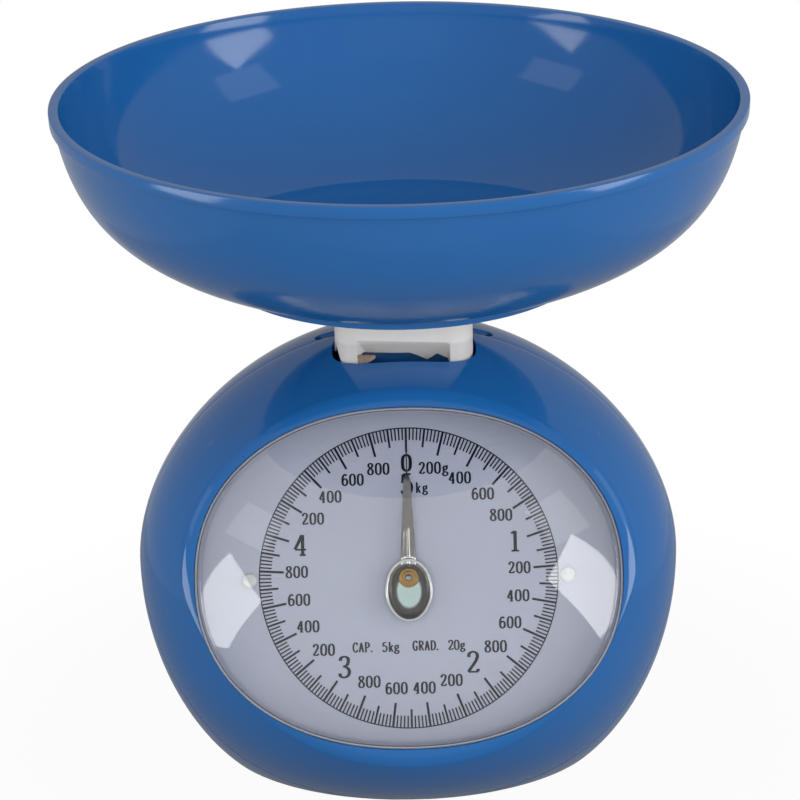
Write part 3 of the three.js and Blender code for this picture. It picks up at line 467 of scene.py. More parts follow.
def skin_rings(name, rings):
    """A closed mesh through rings of equal count, flat at both ends."""
    count = len(rings[0])
    points = [point for ring in rings for point in ring]
    faces = []
    last = len(points) - count
    for start in range(0, last, count):
        for i in range(count):
            a, b = start + i, start + (i + 1) % count
            faces.append((a, b, b + count, a + count))
    faces.append(tuple(reversed(range(count))))
    faces.append(tuple(range(last, last + count)))
    mesh = bpy.data.meshes.new(name)
    mesh.from_pydata(points, [], faces)
    piece = linked(name, mesh)
    face_outwards(piece)
    return piece


def oval(half_width, half_height, squareness, segments):
    """Points round an oval: squareness 2 is an ellipse, and more fills its corners."""
    power = 2 / squareness
    points = []
    for i in range(segments):
        angle = 2 * math.pi * (i + 0.5) / segments
        c, s = math.cos(angle), math.sin(angle)
        points.append((
            half_width * math.copysign(abs(c) ** power, c),
            half_height * math.copysign(abs(s) ** power, s),
        ))
    return points


def disc(radius, segments):
    """Points round a circle."""
    return oval(radius, radius, 2, segments)


def oval_ring(half_width, half_height, depth, segments=208):
    """A ring of the window's oval, in metres, at a height in millimetres over the dial."""
    outline = oval(half_width, half_height, window_squareness, segments)
    return [dial_frame @ (Vector((x, y, depth)) * mm) for x, y in outline]


def window_ring(flare, depth):
    """The window's outline made wider by flare, at a height over the dial."""
    return oval_ring(window_half_width + flare, window_half_height + flare, depth)


def carve(piece, cutter, operation="DIFFERENCE"):
    """Cuts a piece with a closed cutter, and clears the cutter away."""
    apply_modifier(piece, "BOOLEAN", object=cutter, operation=operation, solver="MANIFOLD")
    bpy.data.objects.remove(cutter)


def place(piece, matrix):
    """Moves a piece's mesh into place and leaves its object at the origin."""
    pick(piece)
    piece.matrix_world = matrix
    bpy.ops.object.transform_apply(location=True, rotation=True, scale=True)


def copy_of(piece, name):
    """A copy with its own mesh."""
    return linked(name, piece.data.copy())


def moved(x, y, z=0.0):
    """A shift in millimetres."""
    return Matrix.Translation(Vector((x, y, z)) * mm)


def on_dial(x, y, height=0.0):
    """The dial's frame moved along the dial, in millimetres."""
    return dial_frame @ moved(x, y, height)


def drill(piece, radius, low, high, matrix, operation="DIFFERENCE", vertices=48):
    """Bores a round hole between two heights of a frame, or with "UNION" raises a round boss."""
    leave_edit_mode()
    bpy.ops.mesh.primitive_cylinder_add(
        vertices=vertices, radius=radius * mm, depth=(high - low) * mm,
        location=(0, 0, (low + high) / 2 * mm),
    )
    bit = bpy.context.object
    bpy.ops.object.transform_apply(location=True)
    place(bit, matrix)
    carve(piece, bit, operation)


def cut_level(piece, height):
    """Cuts a closed piece off flat, below a height in millimetres."""
    edit(piece)
    bpy.ops.mesh.bisect(
        plane_co=(0, 0, height * mm), plane_no=(0, 0, 1), use_fill=True, clear_inner=True,
    )
    leave_edit_mode()


def upright(outline, low, high):
    """Two level rings of an outline in millimetres, for a piece that stands upright."""
    return [[Vector((x, y, z)) * mm for x, y in outline] for z in (low, high)]


def rounded_rectangle(width, depth, corner, centre_y=0.0, corner_steps=10):
    """Points round a rectangle with rounded corners, in millimetres."""
    points = []
    for turn, (side_x, side_y) in enumerate([(1, 1), (-1, 1), (-1, -1), (1, -1)]):
        for i in range(corner_steps + 1):
            angle = math.pi / 2 * (turn + i / corner_steps)
            points.append((
                side_x * (width / 2 - corner) + corner * math.cos(angle),
                centre_y + side_y * (depth / 2 - corner) + corner * math.sin(angle),
            ))
    return points


def neck_cutter():
    """The neck's hole, and the slot along its back that ends in two ears."""
    hole_outline = oval(neck_hole_half_width, neck_hole_half_depth, neck_hole_squareness, 96)
    hole = skin_rings("neck_hole", upright(hole_outline, neck_hole_bottom, above_crown))
    ears_outline = rounded_rectangle(2 * ear_reach, ear_width, ear_width / 2 - 0.05, ear_y)
    carve(
        hole, skin_rings("ears", upright(ears_outline, neck_hole_bottom + 1, above_crown - 1)), "UNION",
    )
    return hole


def spaced(first, last, count):
    """Even steps from the first value to the last."""
    return [first + (last - first) * i / (count - 1) for i in range(count)]


def round_rim(piece, depth, width, segments):
    """Rounds the sharp edge that lies in a plane parallel to the dial."""
    edit(piece, "DESELECT")
    bm = bmesh.from_edit_mesh(piece.data)
    to_dial = dial_frame.inverted()
    for edge in bm.edges:
        depths = [(to_dial @ vert.co).z / mm for vert in edge.verts]
        edge.select_set(max(abs(d - depth) for d in depths) < 0.01)
    bmesh.update_edit_mesh(piece.data)
    bpy.ops.mesh.bevel(offset=width * mm, segments=segments, profile=0.5)
    leave_edit_mode()


front_face = -seam_depth + seam_gap / 2
rear_face = -seam_depth - seam_gap / 2
front_shell = skin_rings("front_shell", egg_slices(spaced(front_face, land_height, 18), 0))
round_rim(front_shell, land_height, land_radius, 9)
round_rim(front_shell, front_face, 0.25, 3)
cut_level(front_shell, base_height)
front_outside = copy_of(front_shell, "front_outside")
inside_depths = spaced(front_face - 3, land_height - land_thickness, 14)
front_inside = skin_rings("front_inside", egg_slices(inside_depths, shell_wall))
cut_level(front_inside, base_height + floor_thickness)
carve(front_shell, front_inside)


def screw_bosses(shell, outside, radius, low, high):
    """Raises the bosses of the two long screws inside a shell."""
    bosses, right_boss = (skin_rings("boss", upright(disc(radius, 48), low, high)) for _ in range(2))
    place(bosses, on_dial(-housing_screw_x, housing_screw_y))
    place(right_boss, on_dial(housing_screw_x, housing_screw_y))
    carve(bosses, right_boss, "UNION")
    carve(bosses, outside, "INTERSECT")
    carve(shell, bosses, "UNION")


screw_bosses(front_shell, front_outside, boss_radius, front_face, land_height)
floor_top_level = base_height + floor_thickness
for side in (-1, 1):
    long_screw = on_dial(side * housing_screw_x, housing_screw_y)
    heel_place = moved(side * heel_screw_x, heel_screw_y)
    drill(front_shell, thread_hole, front_face - 1, front_face + long_thread_depth, long_screw)
    drill(
        front_shell, boss_radius, floor_top_level + seat_gap, floor_top_level + heel_boss_height,
        heel_place, "UNION",
    )
    drill(front_shell, thread_hole, 0, floor_top_level + heel_thread_depth, heel_place)
recess_levels = [  # how far the recess flares, and its height over the dial
    (0, lens_seat), (0, land_height - 0.35), (0.1, land_height - 0.12), (0.35, land_height),
    (0.9, land_height + 0.3), (0.9, land_height + 40),
]
carve(front_shell, skin_rings("lens_recess", [window_ring(*level) for level in recess_levels]))
opening_rings = [window_ring(-lens_ledge, depth) for depth in (0, lens_seat + 1)]
carve(front_shell, skin_rings("window_opening", opening_rings))
carve(front_shell, neck_cutter())
smooth(front_shell, 32)
finish(front_shell, blue_abs, "housing", "blue_plastic", "front_housing")

# The rear shell's slices close towards its tail end, where the egg is deepest behind the dial.
tail_depth = min(
    (dial_frame.inverted() @ (Vector((0, middle + half_depth, z)) * mm)).z / mm
    for z, _, half_depth, middle in [(z, *egg_section(z, 0)) for z in range(-28, 148)]
)
tail_steps = 44


def tail_slices(inset, start):
    """Depths that close up towards the tail as a dome's rings do."""
    end = tail_depth + inset + 0.02
    return [start + (end - start) * math.sin(math.pi / 2 * i / tail_steps) for i in range(tail_steps)]


rear_shell = skin_rings("rear_shell", egg_slices(tail_slices(0, rear_face), 0))
round_edges(rear_shell, 0.4, 4, 50)
cut_level(rear_shell, base_height)
rear_outside = copy_of(rear_shell, "rear_outside")
inside_depths = tail_slices(shell_wall + 0.6, rear_face + 3)
rear_inside = skin_rings("rear_inside", egg_slices(inside_depths, shell_wall))
cut_level(rear_inside, base_height + floor_thickness)
knob_boss_cutter = copy_of(rear_inside, "knob_boss_cutter")
carve(rear_shell, rear_inside)
screw_bosses(rear_shell, rear_outside, boss_radius + 1, -90, rear_face)

# The knob's boss stands on the back, with its edge rounded, and its shaft turns in it.
_, back_half_depth, back_middle = egg_section(knob_height, 0)
back_of_housing = back_middle + back_half_depth
facing_back = Matrix.Translation((0, 0, knob_height * mm)) @ Matrix.Rotation(-math.pi / 2, 4, "X")
boss_face = back_of_housing + knob_boss_rise
boss_levels = [(0, back_of_housing - 8), (0, boss_face - 0.6), (0.2, boss_face - 0.2), (0.6, boss_face)]
knob_boss = skin_rings("knob_boss", [
    [Vector((x, y, depth)) * mm for x, y in disc(knob_boss_radius - inset, 96)]
    for inset, depth in boss_levels
])
place(knob_boss, facing_back)
carve(knob_boss, knob_boss_cutter)
carve(rear_shell, knob_boss, "UNION")
drill(rear_shell, zero_shaft_hole, 0, 120, facing_back)

for side in (-1, 1):
    long_screw = on_dial(side * housing_screw_x, housing_screw_y)
    drill(rear_shell, head_hole, -120, housing_screw_seat, long_screw)
    drill(rear_shell, thread_hole, housing_screw_seat - 1, 0, long_screw)
for x, y in [*base_screw_places, (-heel_screw_x, heel_screw_y), (heel_screw_x, heel_screw_y)]:
    drill(rear_shell, head_hole, 0, 3, moved(x, y))
    drill(rear_shell, thread_hole, 0, 6, moved(x, y))
for x, y in foot_places:
    drill(rear_shell, foot_recess, 0, foot_recess_depth, moved(x, y))
carve(rear_shell, neck_cutter())
smooth(rear_shell, 32)
finish(rear_shell, blue_abs, "housing", "blue_plastic", "rear_housing")

# ---------------------------------------------------------------- lens
# A moulded dome of clear polystyrene with a narrow flat rim. The rim drops into the recess of the
# front shell on a band of pale tape, which shows through it as a grey line round the window.
lens_segments, dome_rings = 160, 22
lens_thickness = 1.5
lens_rim = 1.7
lens_rise = 22
lens_roundness = 0.55
lens_top = land_height
lens_bottom = lens_top - lens_thickness
dome_reach = 1 - lens_rim / window_half_width


def dome_height(share):
    """The dome's height over its rim, at a share of the way from the middle to its foot."""
    shoulder = math.sqrt(1 - lens_roundness)
    return lens_rise * (math.sqrt(1 - lens_roundness * share**2) - shoulder) / (1 - shoulder)


def lens_ring(share, height):
    """A ring of the lens, at a share of its outline and a height over the dial."""
    return oval_ring(
        (window_half_width - seat_gap) * share, (window_half_height - seat_gap) * share, height,
        lens_segments,
    )


dome_steps = [0.02, *[math.sin(math.pi / 2 * i / dome_rings) for i in range(1, dome_rings)], 1]
inner_dome = [lens_ring(s * dome_reach, lens_bottom + dome_height(s)) for s in dome_steps]
outer_dome = [lens_ring(s * dome_reach, lens_top + dome_height(s)) for s in reversed(dome_steps)]
rim_rings = [
    lens_ring(0.998, lens_bottom), lens_ring(1, lens_bottom + 0.15), lens_ring(1, lens_top - 0.2),
    lens_ring(0.997, lens_top),
]
lens = skin_rings("window_lens", [*inner_dome, *rim_rings, *outer_dome])
smooth(lens, 40)

# Clear polystyrene polished by its mould, with the faint haze and hairlines of a wiped window.
clear_styrene, node, styrene_place = new_material("clear_polystyrene")
wipe_direction = node("Mapping", {
    "Vector": styrene_place, "Scale": (2600, 140, 140), "Rotation": (0.2, 0.7, 0.4),
})
hairlines = node("TexNoise", {"Vector": wipe_direction, "Scale": 1, "Detail": 3, "Roughness": 0.6})
haze = node("MapRange", [hairlines, 0.55, 0.8, 0.004, 0.018])
mould_waves = node("TexNoise", {"Vector": styrene_place, "Scale": 42, "Detail": 1})
styrene_bump = node("Bump", {"Height": mould_waves, "Strength": 0.06, "Distance": 0.001})
styrene_glass = node("BsdfPrincipled", {
    "Base Color": linear("F7F9FA"), "Roughness": haze, "IOR": 1.5, "Transmission Weight": 1.0,
    "Normal": styrene_bump,
})
styrene_air = node("BsdfTransparent", {"Color": (0.93, 0.94, 0.95, 1)})
styrene_rays = node("LightPath")
surface = node("MixShader", [styrene_rays.outputs["Is Shadow Ray"], styrene_glass, styrene_air])
node("OutputMaterial", {"Surface": surface})
finish(lens, clear_styrene, "housing", "clear_plastic", "lens")


def two_toned(name, grain, dark, light, skin, bump=None, bump_grain=None):
    """A material that drifts between two tones, its bumps from the same grain or a finer one."""
    material, node, on_scale = new_material(name)
    clouds = node("TexNoise", {"Vector": on_scale, **grain})
    tone = node("Mix", {"Factor": clouds, "A": linear(dark), "B": linear(light)}, data_type="RGBA")
    if bump_grain:
        clouds = node("TexNoise", {"Vector": on_scale, **bump_grain})
    if bump:
        skin["Normal"] = node("Bump", {"Height": clouds, "Strength": bump[0], "Distance": bump[1]})
    node("OutputMaterial", {"Surface": node("BsdfPrincipled", {"Base Color": tone, **skin})})
    return material


def window_band(name, outer, inner, low, high):
    """A flat band round the window, between two outlines and two heights over the dial."""
    band = skin_rings(name, [window_ring(outer, low), window_ring(outer, high)])
    carve(band, skin_rings("band_middle", [window_ring(inner, low - 1), window_ring(inner, high + 1)]))
    smooth(band, 40)
    return band


# The tape under the rim: matt pale grey foam, its fine cells drawn a little coarse.
lens_tape = window_band("lens_tape", -0.15, 0.1 - lens_ledge, lens_seat + 0.04, lens_bottom - 0.06)
pale_tape = two_toned(
    "pale_foam_tape", {"Scale": 900, "Detail": 2}, "93969F", "A0A2AE", {"Roughness": 0.8},
)
finish(lens_tape, pale_tape, "housing", "white_card")

# A fine dark bead runs along both edges of the tape: painted shade, standing for the dark lines
# where the lens's rim and the tape's edges lie in shade. It is rippled and half glossy.
painted_shade_line_material = two_toned(
    "dark_adhesive", {"Scale": 600, "Detail": 2}, "2A2630", "48434D", {"Roughness": 0.5},
)
bead_width = 0.36
for bead_name, outer in [("outer_bead", -0.10), ("inner_bead", -0.86)]:
    bead = window_band(bead_name, outer, outer - bead_width, lens_seat + 0.03, lens_bottom - 0.02)
    finish(bead, painted_shade_line_material, "housing", "white_card")

# ---------------------------------------------------------------- dial
# An oval plate of thin sheet, enamelled lavender-grey and held to its bracket by two snap pins. Its
# scale and numbers are a film of black ink, pressed on through a screen.
dial_half_width, dial_half_height, dial_thickness = 72, 57.6, 1
pin_spacing = 106
pin_shank = 1.2
pin_head = 2.5
shaft_hole = 4
dial_ground = "9A9CAB"
dial_ground_warm = "9FA1AE"

dial_edge = [(0.1, -dial_thickness), (0, -dial_thickness + 0.1), (0, -0.1), (0.1, 0)]
dial = skin_rings("dial_face", [
    oval_ring(dial_half_width - inset, dial_half_height - inset, depth) for inset, depth in dial_edge
])
pin_hole = pin_shank + seat_gap
for hole_x, radius in [(-pin_spacing / 2, pin_hole), (0, shaft_hole), (pin_spacing / 2, pin_hole)]:
    drill(dial, radius, -10, 10, on_dial(hole_x, 0))
smooth(dial, 40)

# Baked enamel on sheet: a satin skin with a slow drift of tone and hardly any grain.
dial_enamel = two_toned(
    "lavender_dial_enamel", {"Scale": 22, "Detail": 2, "Roughness": 0.4}, dial_ground, dial_ground_warm,
    {"Roughness": 0.42, "IOR": 1.45}, (0.12, 0.00002), {"Scale": 1800, "Detail": 2},
)
finish(dial, dial_enamel, "housing", "dial_card", "dial_plate")

# The scale: a fine ring with 250 marks inside it, one for every 20 g, longer at 100 g and at 200 g.
# Each kind of mark has its count, length and width.
print_height = 0.04
ink_thickness = 0.03
scale_radius = 50
ring_line = 0.40
mark_kinds = [(250, 4.0, 0.50), (50, 6.2, 0.68), (25, 8.1, 0.76)]

leave_edit_mode()
bpy.ops.mesh.primitive_circle_add(vertices=250, radius=scale_radius * mm, fill_type="NOTHING")
scale_ring = bpy.context.object
edit(scale_ring)
inner_share = (scale_radius - ring_line) / scale_radius
bpy.ops.mesh.extrude_region_move()
bpy.ops.transform.resize(value=(inner_share, inner_share, 1), center_override=(0, 0, 0))
bpy.ops.mesh.select_all(action="SELECT")
bpy.ops.mesh.extrude_region_move(TRANSFORM_OT_translate={"value": (0, 0, ink_thickness * mm)})
leave_edit_mode()
face_outwards(scale_ring)
printed = [scale_ring]
for count, length, width in mark_kinds:
    leave_edit_mode()
    middle = scale_radius - ring_line / 2 - length / 2
    bpy.ops.mesh.primitive_cube_add(size=1, location=(0, middle * mm, ink_thickness / 2 * mm))
    marks = bpy.context.object
    marks.scale = (width * mm, length * mm, ink_thickness * mm)
    bpy.ops.object.transform_apply(location=True, scale=True)
    edit(marks)
    bpy.ops.mesh.spin(
        steps=count - 1, dupli=True, angle=2 * math.pi * (count - 1) / count, center=(0, 0, 0),
        axis=(0, 0, 1),
    )
    leave_edit_mode()
    printed.append(marks)

# The numerals are drawn as a broad pen held level draws them: strokes that run up and down are thick
# and strokes that run across are thin. Each stroke is a list of points, in hundredths of the height.
digit_width = 0.56
pen_up = 0.098
pen_across = 0.058
numerals = {
    "0": [[(28, 100), (10, 86), (6, 50), (10, 14), (28, 0), (46, 14), (50, 50), (46, 86), (28, 100)]],
    "1": [
        [(13, 86), (22, 89), (30, 97)], [(31, 97), (31, 50), (31, 2)],
        [(14, 1.5), (31, 1.5), (48, 1.5)],
    ],
    "2": [
        [(10, 74), (11, 90), (27, 100), (44, 90), (45, 70), (34, 46), (18, 22), (7, 4)],
        [(7, 3), (28, 3), (47, 3)], [(46, 3), (47.5, 10), (49, 17)],
    ],
    "3": [
        [(9, 80), (14, 95), (28, 100), (42, 93), (44, 76), (38, 59), (22, 53)],
        [(22, 53), (40, 46), (48, 28), (42, 8), (26, 0), (11, 5), (7, 20)],
    ],
    "4": [
        [(35, 99), (20, 64), (4, 30)], [(4, 28), (28, 28), (52, 28)], [(37, 99), (37, 50), (37, 2)],
        [(23, 1.5), (37, 1.5), (50, 1.5)],
    ],
    "5": [
        [(13, 97), (30, 97), (46, 97)], [(13, 97), (12, 75), (10, 54)],
        [(10, 54), (20, 61), (32, 61), (45, 50), (48, 30), (42, 9), (26, 0), (12, 4), (7, 18)],
    ],
    "6": [
        [(44, 86), (34, 98), (22, 94), (10, 72), (7, 40), (12, 10), (28, 0), (44, 9), (50, 30),
         (44, 52), (30, 60), (16, 53), (8, 36)],
    ],
    "8": [
        [(28, 100), (12, 92), (11, 74), (24, 58), (42, 44), (49, 24), (42, 5), (27, 0), (12, 6),
         (6, 25), (14, 45), (32, 58), (44, 76), (42, 93), (28, 100)],
    ],
    "k": [
        [(5, 99), (11, 99), (15, 97)], [(15, 99), (15, 50), (15, 2)],
        [(6, 1.5), (15, 1.5), (25, 1.5)], [(44, 62), (30, 46), (16, 30)],
        [(26, 42), (36, 20), (45, 2)], [(38, 1.5), (45, 1.5), (54, 1.5)],
        [(35, 63), (44, 63), (52, 63)],
    ],
    "g": [
        [(27, 64), (13, 56), (13, 38), (26, 30), (40, 38), (40, 56), (27, 64)],
        [(39, 60), (45, 66), (52, 66)],
        [(20, 31), (12, 22), (20, 13), (38, 10), (48, 0), (43, -16), (25, -23), (9, -16), (7, -3),
         (18, 8)],
    ],
    "C": [
        [(46, 78), (44, 93), (30, 100), (13, 86), (6, 50), (13, 14), (30, 0), (44, 7), (49, 24)],
        [(46, 98), (46.5, 86), (47, 74)],
    ],
    "A": [
        [(28, 99), (18, 50), (9, 2)], [(28, 99), (38, 50), (47, 2)], [(15, 34), (28, 34), (42, 34)],
        [(2, 1.5), (9, 1.5), (16, 1.5)], [(38, 1.5), (46, 1.5), (55, 1.5)],
    ],
    "P": [
        [(13, 98), (13, 50), (13, 2)], [(4, 1.5), (13, 1.5), (24, 1.5)],
        [(4, 98), (30, 98), (46, 88), (47, 62), (32, 48), (14, 48)],
    ],
    "G": [
        [(44, 78), (42, 94), (28, 100), (12, 86), (5, 50), (12, 14), (27, 0), (42, 8), (43, 40)],
        [(30, 41), (42, 41), (53, 41)],
    ],
    "R": [
        [(11, 98), (11, 50), (11, 2)], [(2, 1.5), (11, 1.5), (21, 1.5)],
        [(2, 98), (27, 98), (43, 89), (43, 64), (28, 52), (12, 52)], [(26, 51), (36, 24), (46, 3)],
        [(42, 1.5), (47, 1.5), (55, 1.5)],
    ],
    "D": [
        [(11, 98), (11, 50), (11, 2)],
        [(2, 98), (24, 98), (44, 86), (51, 50), (44, 14), (24, 2), (2, 2)],
    ],
    ".": [[(8, 7), (12, 7), (12, 3), (8, 3), (8, 7)]],
}


def pen_edge(points, closed, weight):
    """Left and right edges of a stroke drawn along a smooth line through the points."""
    up, across = pen_up * weight, pen_across * weight
    path = []
    count = len(points)
    for i in range(count - 1):
        before = points[i - 1] if i > 0 else (points[-2] if closed else points[0])
        after = points[i + 2] if i + 2 < count else (points[1] if closed else points[-1])
        p0, p1, p2, p3 = (Vector(p) for p in (before, points[i], points[i + 1], after))
        for step in range(6):
            t = step / 6
            path.append(0.5 * (
                2 * p1 + (p2 - p0) * t + (2 * p0 - 5 * p1 + 4 * p2 - p3) * t * t
                + (3 * p1 - p0 - 3 * p2 + p3) * t**3
            ))
    path.append(Vector(points[-1]))
    left, right = [], []
    for i, point in enumerate(path):
        ahead = path[min(i + 1, len(path) - 1)]
        behind = path[max(i - 1, 0)]
        along = ahead - behind
        normal = Vector((-along.y, along.x))
        if normal.length < 1e-9:
            normal = Vector((1, 0))
        reach_of_pen = math.sqrt((up * normal.x) ** 2 + (across * normal.y) ** 2)
        offset = Vector((up**2 * normal.x, across**2 * normal.y)) / reach_of_pen
        left.append(point + offset)
        right.append(point - offset)
    return left, right


def draw_words(words, height, centre_x, centre_y, advance=0.70, widen=1.0, weight=1.0):
    """Words as a film of ink, centred on a point of the dial, sizes in millimetres."""
    points, faces = [], []
    step = advance * height
    start = centre_x - step * len(words) / 2 + (step - digit_width * widen * height) / 2
    stretch = Vector((widen * height, height))
    for place_in_line, character in enumerate(words):
        origin = Vector((start + place_in_line * step, centre_y - height / 2))
        for stroke in numerals.get(character, []):
            line = [(x / 100, y / 100) for x, y in stroke]
            left, right = pen_edge(line, line[0] == line[-1], weight)
            first = len(points)
            for a, b in zip(left, right):
                points += [
                    (*(origin + edge * stretch), z) for z in (0, ink_thickness) for edge in (a, b)
                ]
            end = len(points) - 4
            for i in range(first, end, 4):
                for face in ((2, 3, 7, 6), (0, 2, 6, 4), (1, 5, 7, 3), (0, 4, 5, 1)):
                    faces.append([i + corner for corner in face])
            faces.append((first, first + 1, first + 3, first + 2))
            faces.append((end, end + 2, end + 3, end + 1))
    mesh = bpy.data.meshes.new("words")
    mesh.from_pydata([Vector(p) * mm for p in points], [], faces)
    return linked("words", mesh)


gram_height, kilogram_height = 3.7, 6.9
label_radius = 37.2
labels_left, labels_up = -0.2, 0.35
kilogram_places = [(35.5, 11.6), (20.9, -28.4), (-22.0, -29.2), (-35.9, 11.6)]
for label in range(1, 25):
    angle = 2 * math.pi * label / 25
    if label % 5:
        grams = str(200 * (label % 5)) + ("g" if label == 1 else "")
        label_x = label_radius * math.sin(angle) + labels_left
        label_y = label_radius * math.cos(angle) + labels_up
        printed.append(draw_words(grams, gram_height, label_x, label_y))
    else:
        kilograms = label // 5
        label_place = kilogram_places[kilograms - 1]
        printed.append(draw_words(str(kilograms), kilogram_height, *label_place, 0.70, 1.12, 0.75))
# The zero and 5 kg at the top, and below the pivot the capacity and the value of one division.
for words in [
    ("0", 5.4, 0, 38.2, 0.70, 1.1, 0.95), ("5", kilogram_height, 0, 31.2, 0.70, 1.1, 0.8),
    ("kg", 3.3, 4.9, 29.9), ("CAP. 5kg", 3.1, -11.4, -22.8, 0.635),
    ("GRAD. 20g", 3.1, 9.6, -22.6, 0.635),
]:
    printed.append(draw_words(*words))

leave_edit_mode()
for film in printed:
    film.select_set(True)
bpy.context.view_layer.objects.active = scale_ring
bpy.ops.object.join()
dial_print = bpy.context.object
dial_print.name = "dial_print"
place(dial_print, on_dial(0, 0, print_height - ink_thickness))

# Screen-printed ink, near black, a little thin where the mesh of the screen left it.
dial_ink = two_toned("black_screen_ink", {"Scale": 2400, "Detail": 2}, "07070C", "101119", {
    "Roughness": 0.7, "Specular IOR Level": 0.15,
})
finish(dial_print, dial_ink, "housing", "dial_card")

# ---------------------------------------------------------------- dial pins
# Two snap pins, each a domed head on a split shank, hold the dial plate to its bracket. They are
# clear polystyrene beads, coloured pale and half clear as a painted highlight, so they show paler
# than the dial.
pin_length = 4.6
pin_profile = [
    (0.25, -pin_length + 0.1), (0.9, -pin_length + 0.1), (pin_shank, -pin_length + 1.0),
    (pin_shank, 0.32), (pin_head - 0.1, 0.32), (pin_head, 0.45), (pin_head, 0.85), (2.35, 1.15),
    (1.95, 1.5), (1.3, 1.75), (0.6, 1.88), (0.12, 1.9),
]
# Painted highlight: the pins' pale base colour stands in for the light their clear heads catch.
pale_styrene_painted_highlight = two_toned(
    "cloudy_polystyrene", {"Scale": 700, "Detail": 3}, "B9B7B4", "F0EFEC",
    {"Roughness": 0.12, "IOR": 1.5, "Transmission Weight": 0.35}, (0.5, 0.0003),
)
left_pin = turn_on_lathe("dial_pin_clear_left", pin_profile, 64)
smooth(left_pin, 45)
right_pin = copy_of(left_pin, "dial_pin_clear_right")
for pin, side, cad_node in [(left_pin, -1, "dial_pin_left"), (right_pin, 1, "dial_pin_right")]:
    place(pin, on_dial(side * pin_spacing / 2, 0))
    finish(pin, pale_styrene_painted_highlight, "housing", "clear_plastic", cad_node)

# ---------------------------------------------------------------- pointer
# The pointer is pressed from thin sheet and chromed: a dished spoon with a rolled rim below the pivot,
# a handle ribbed for stiffness, then a flat blade and a needle as fine as the marks it reads.
pointer_height = 4.2
pointer_sheet = 0.8
spoon_half_width, spoon_half_length = 7.9, 10.6
spoon_depth = 3
spoon_drop = 4
handle_root, handle_root_width = 5.4, 5.2
handle_tip, handle_tip_width = 33, 2.3
ribs_end = 17.8
needle_tip, needle_width = 49.5, 0.45
hub_hole = 2.5


def spoon_ring(share, height):
    """A level ring of the spoon, at a share of its outline and a height over the pointer's sheet."""
    ring = []
    for angle in turns(96):
        x = spoon_half_width * share * math.cos(angle)
        y = spoon_half_length * share * math.sin(angle) - spoon_drop
        ring.append(Vector((x, y, pointer_height + height)) * mm)
    return ring


dish_steps = [0.05, 0.2, 0.35, 0.5, 0.63, 0.75, 0.84]
dish_floor = pointer_sheet - spoon_depth
inside_of_dish = [(s, dish_floor * math.sqrt(1 - (s / 0.9) ** 2)) for s in dish_steps]
outside_of_dish = [(s, -spoon_depth * math.sqrt(1 - s * s)) for s in reversed(dish_steps)]
rolled_rim = [
    (0.875, -0.42), (0.893, -0.12), (0.915, 0.03), (0.945, 0.08), (0.975, 0.03), (0.993, -0.12),
    (1.0, -0.35), (0.985, -0.62), (0.94, -0.95),
]
pointer = skin_rings("chrome_pointer", [
    spoon_ring(*step) for step in inside_of_dish + rolled_rim + outside_of_dish
])
blade_section = [
    (-1, 0.00), (-0.86, 0.34), (-0.66, 0.30), (-0.44, -0.18), (-0.24, -0.16), (-0.1, 0.22), (0, 0.28),
]
blade_section += [(-x, rise) for x, rise in reversed(blade_section[:-1])]
blade_rings = []
for station in range(41):
    y = handle_root - 1.6 + (needle_tip - handle_root + 1.6) * station / 40
    along = (y - handle_root) / (handle_tip - handle_root)
    width = handle_root_width + (handle_tip_width - handle_root_width) * min(max(along, 0), 1)
    if y > handle_tip:
        width = max(needle_width, handle_tip_width - (y - handle_tip) * 1.3)
    ribs = min(max((ribs_end - y) / 1.6, 0), 1)
    crown = 0.12 * (1 - ribs)
    half = width / 2
    top = [
        Vector((x * half, y, pointer_height - 0.32 + ribs * rise + crown * (1 - x * x))) * mm
        for x, rise in blade_section
    ]
    under = [Vector((x * half, y, pointer_height - 0.72)) * mm for x in (1, 0.5, 0, -0.5, -1)]
    blade_rings.append(top + under)
blade = skin_rings("blade", blade_rings)
carve(pointer, blade, "UNION")
drill(pointer, hub_hole, -10, 10, Matrix.Identity(4), vertices=64)
smooth(pointer, 50)
place(pointer, on_dial(0, 0))

# Bright chromium: a mirror with a cool cast, a few soft ripples from the press and fine scratches.
# Its colour is a painted reflection: brightest on the dish's floor and its rolled rim, painted dark
# in the corner of the dish, mid grey along the handle and painted darkest on the needle.
chromium, node, chrome_place = new_material("bright_chromium")
dish_middle = dial_frame @ (Vector((0, -spoon_drop - 0.5, pointer_height)) * mm)
dish_size = (spoon_half_width * mm, spoon_half_length * mm, 0.02)
dish_turn = (math.pi / 2 - dial_lean, 0, 0)
from_dish = node("Mapping", {
    "Vector": chrome_place, "Location": dish_middle, "Rotation": dish_turn, "Scale": dish_size,
}, vector_type="TEXTURE")
dish_share = node("VectorMath", [from_dish], operation="LENGTH")
# Painted reflection by distance from the dish's middle: bright floor, dark corner, bright rim.
painted_reflection_tone = node("ValToRGB", {"Fac": dish_share})
painted_reflection_ramp = painted_reflection_tone.color_ramp
painted_reflection_ramp.elements[0].position, painted_reflection_ramp.elements[0].color = 0.47, linear("BCD0CB")
painted_reflection_ramp.elements[1].position, painted_reflection_ramp.elements[1].color = 0.57, linear("45423E")
for share, tone in [(0.84, "3A3734"), (0.91, "C9C9C7")]:
    painted_reflection_ramp.elements.new(share).color = linear(tone)
chrome_handle = node("MapRange", [dish_share, 1.06, 1.12])
chrome_needle = node("MapRange", [dish_share, 3.4, 3.6])
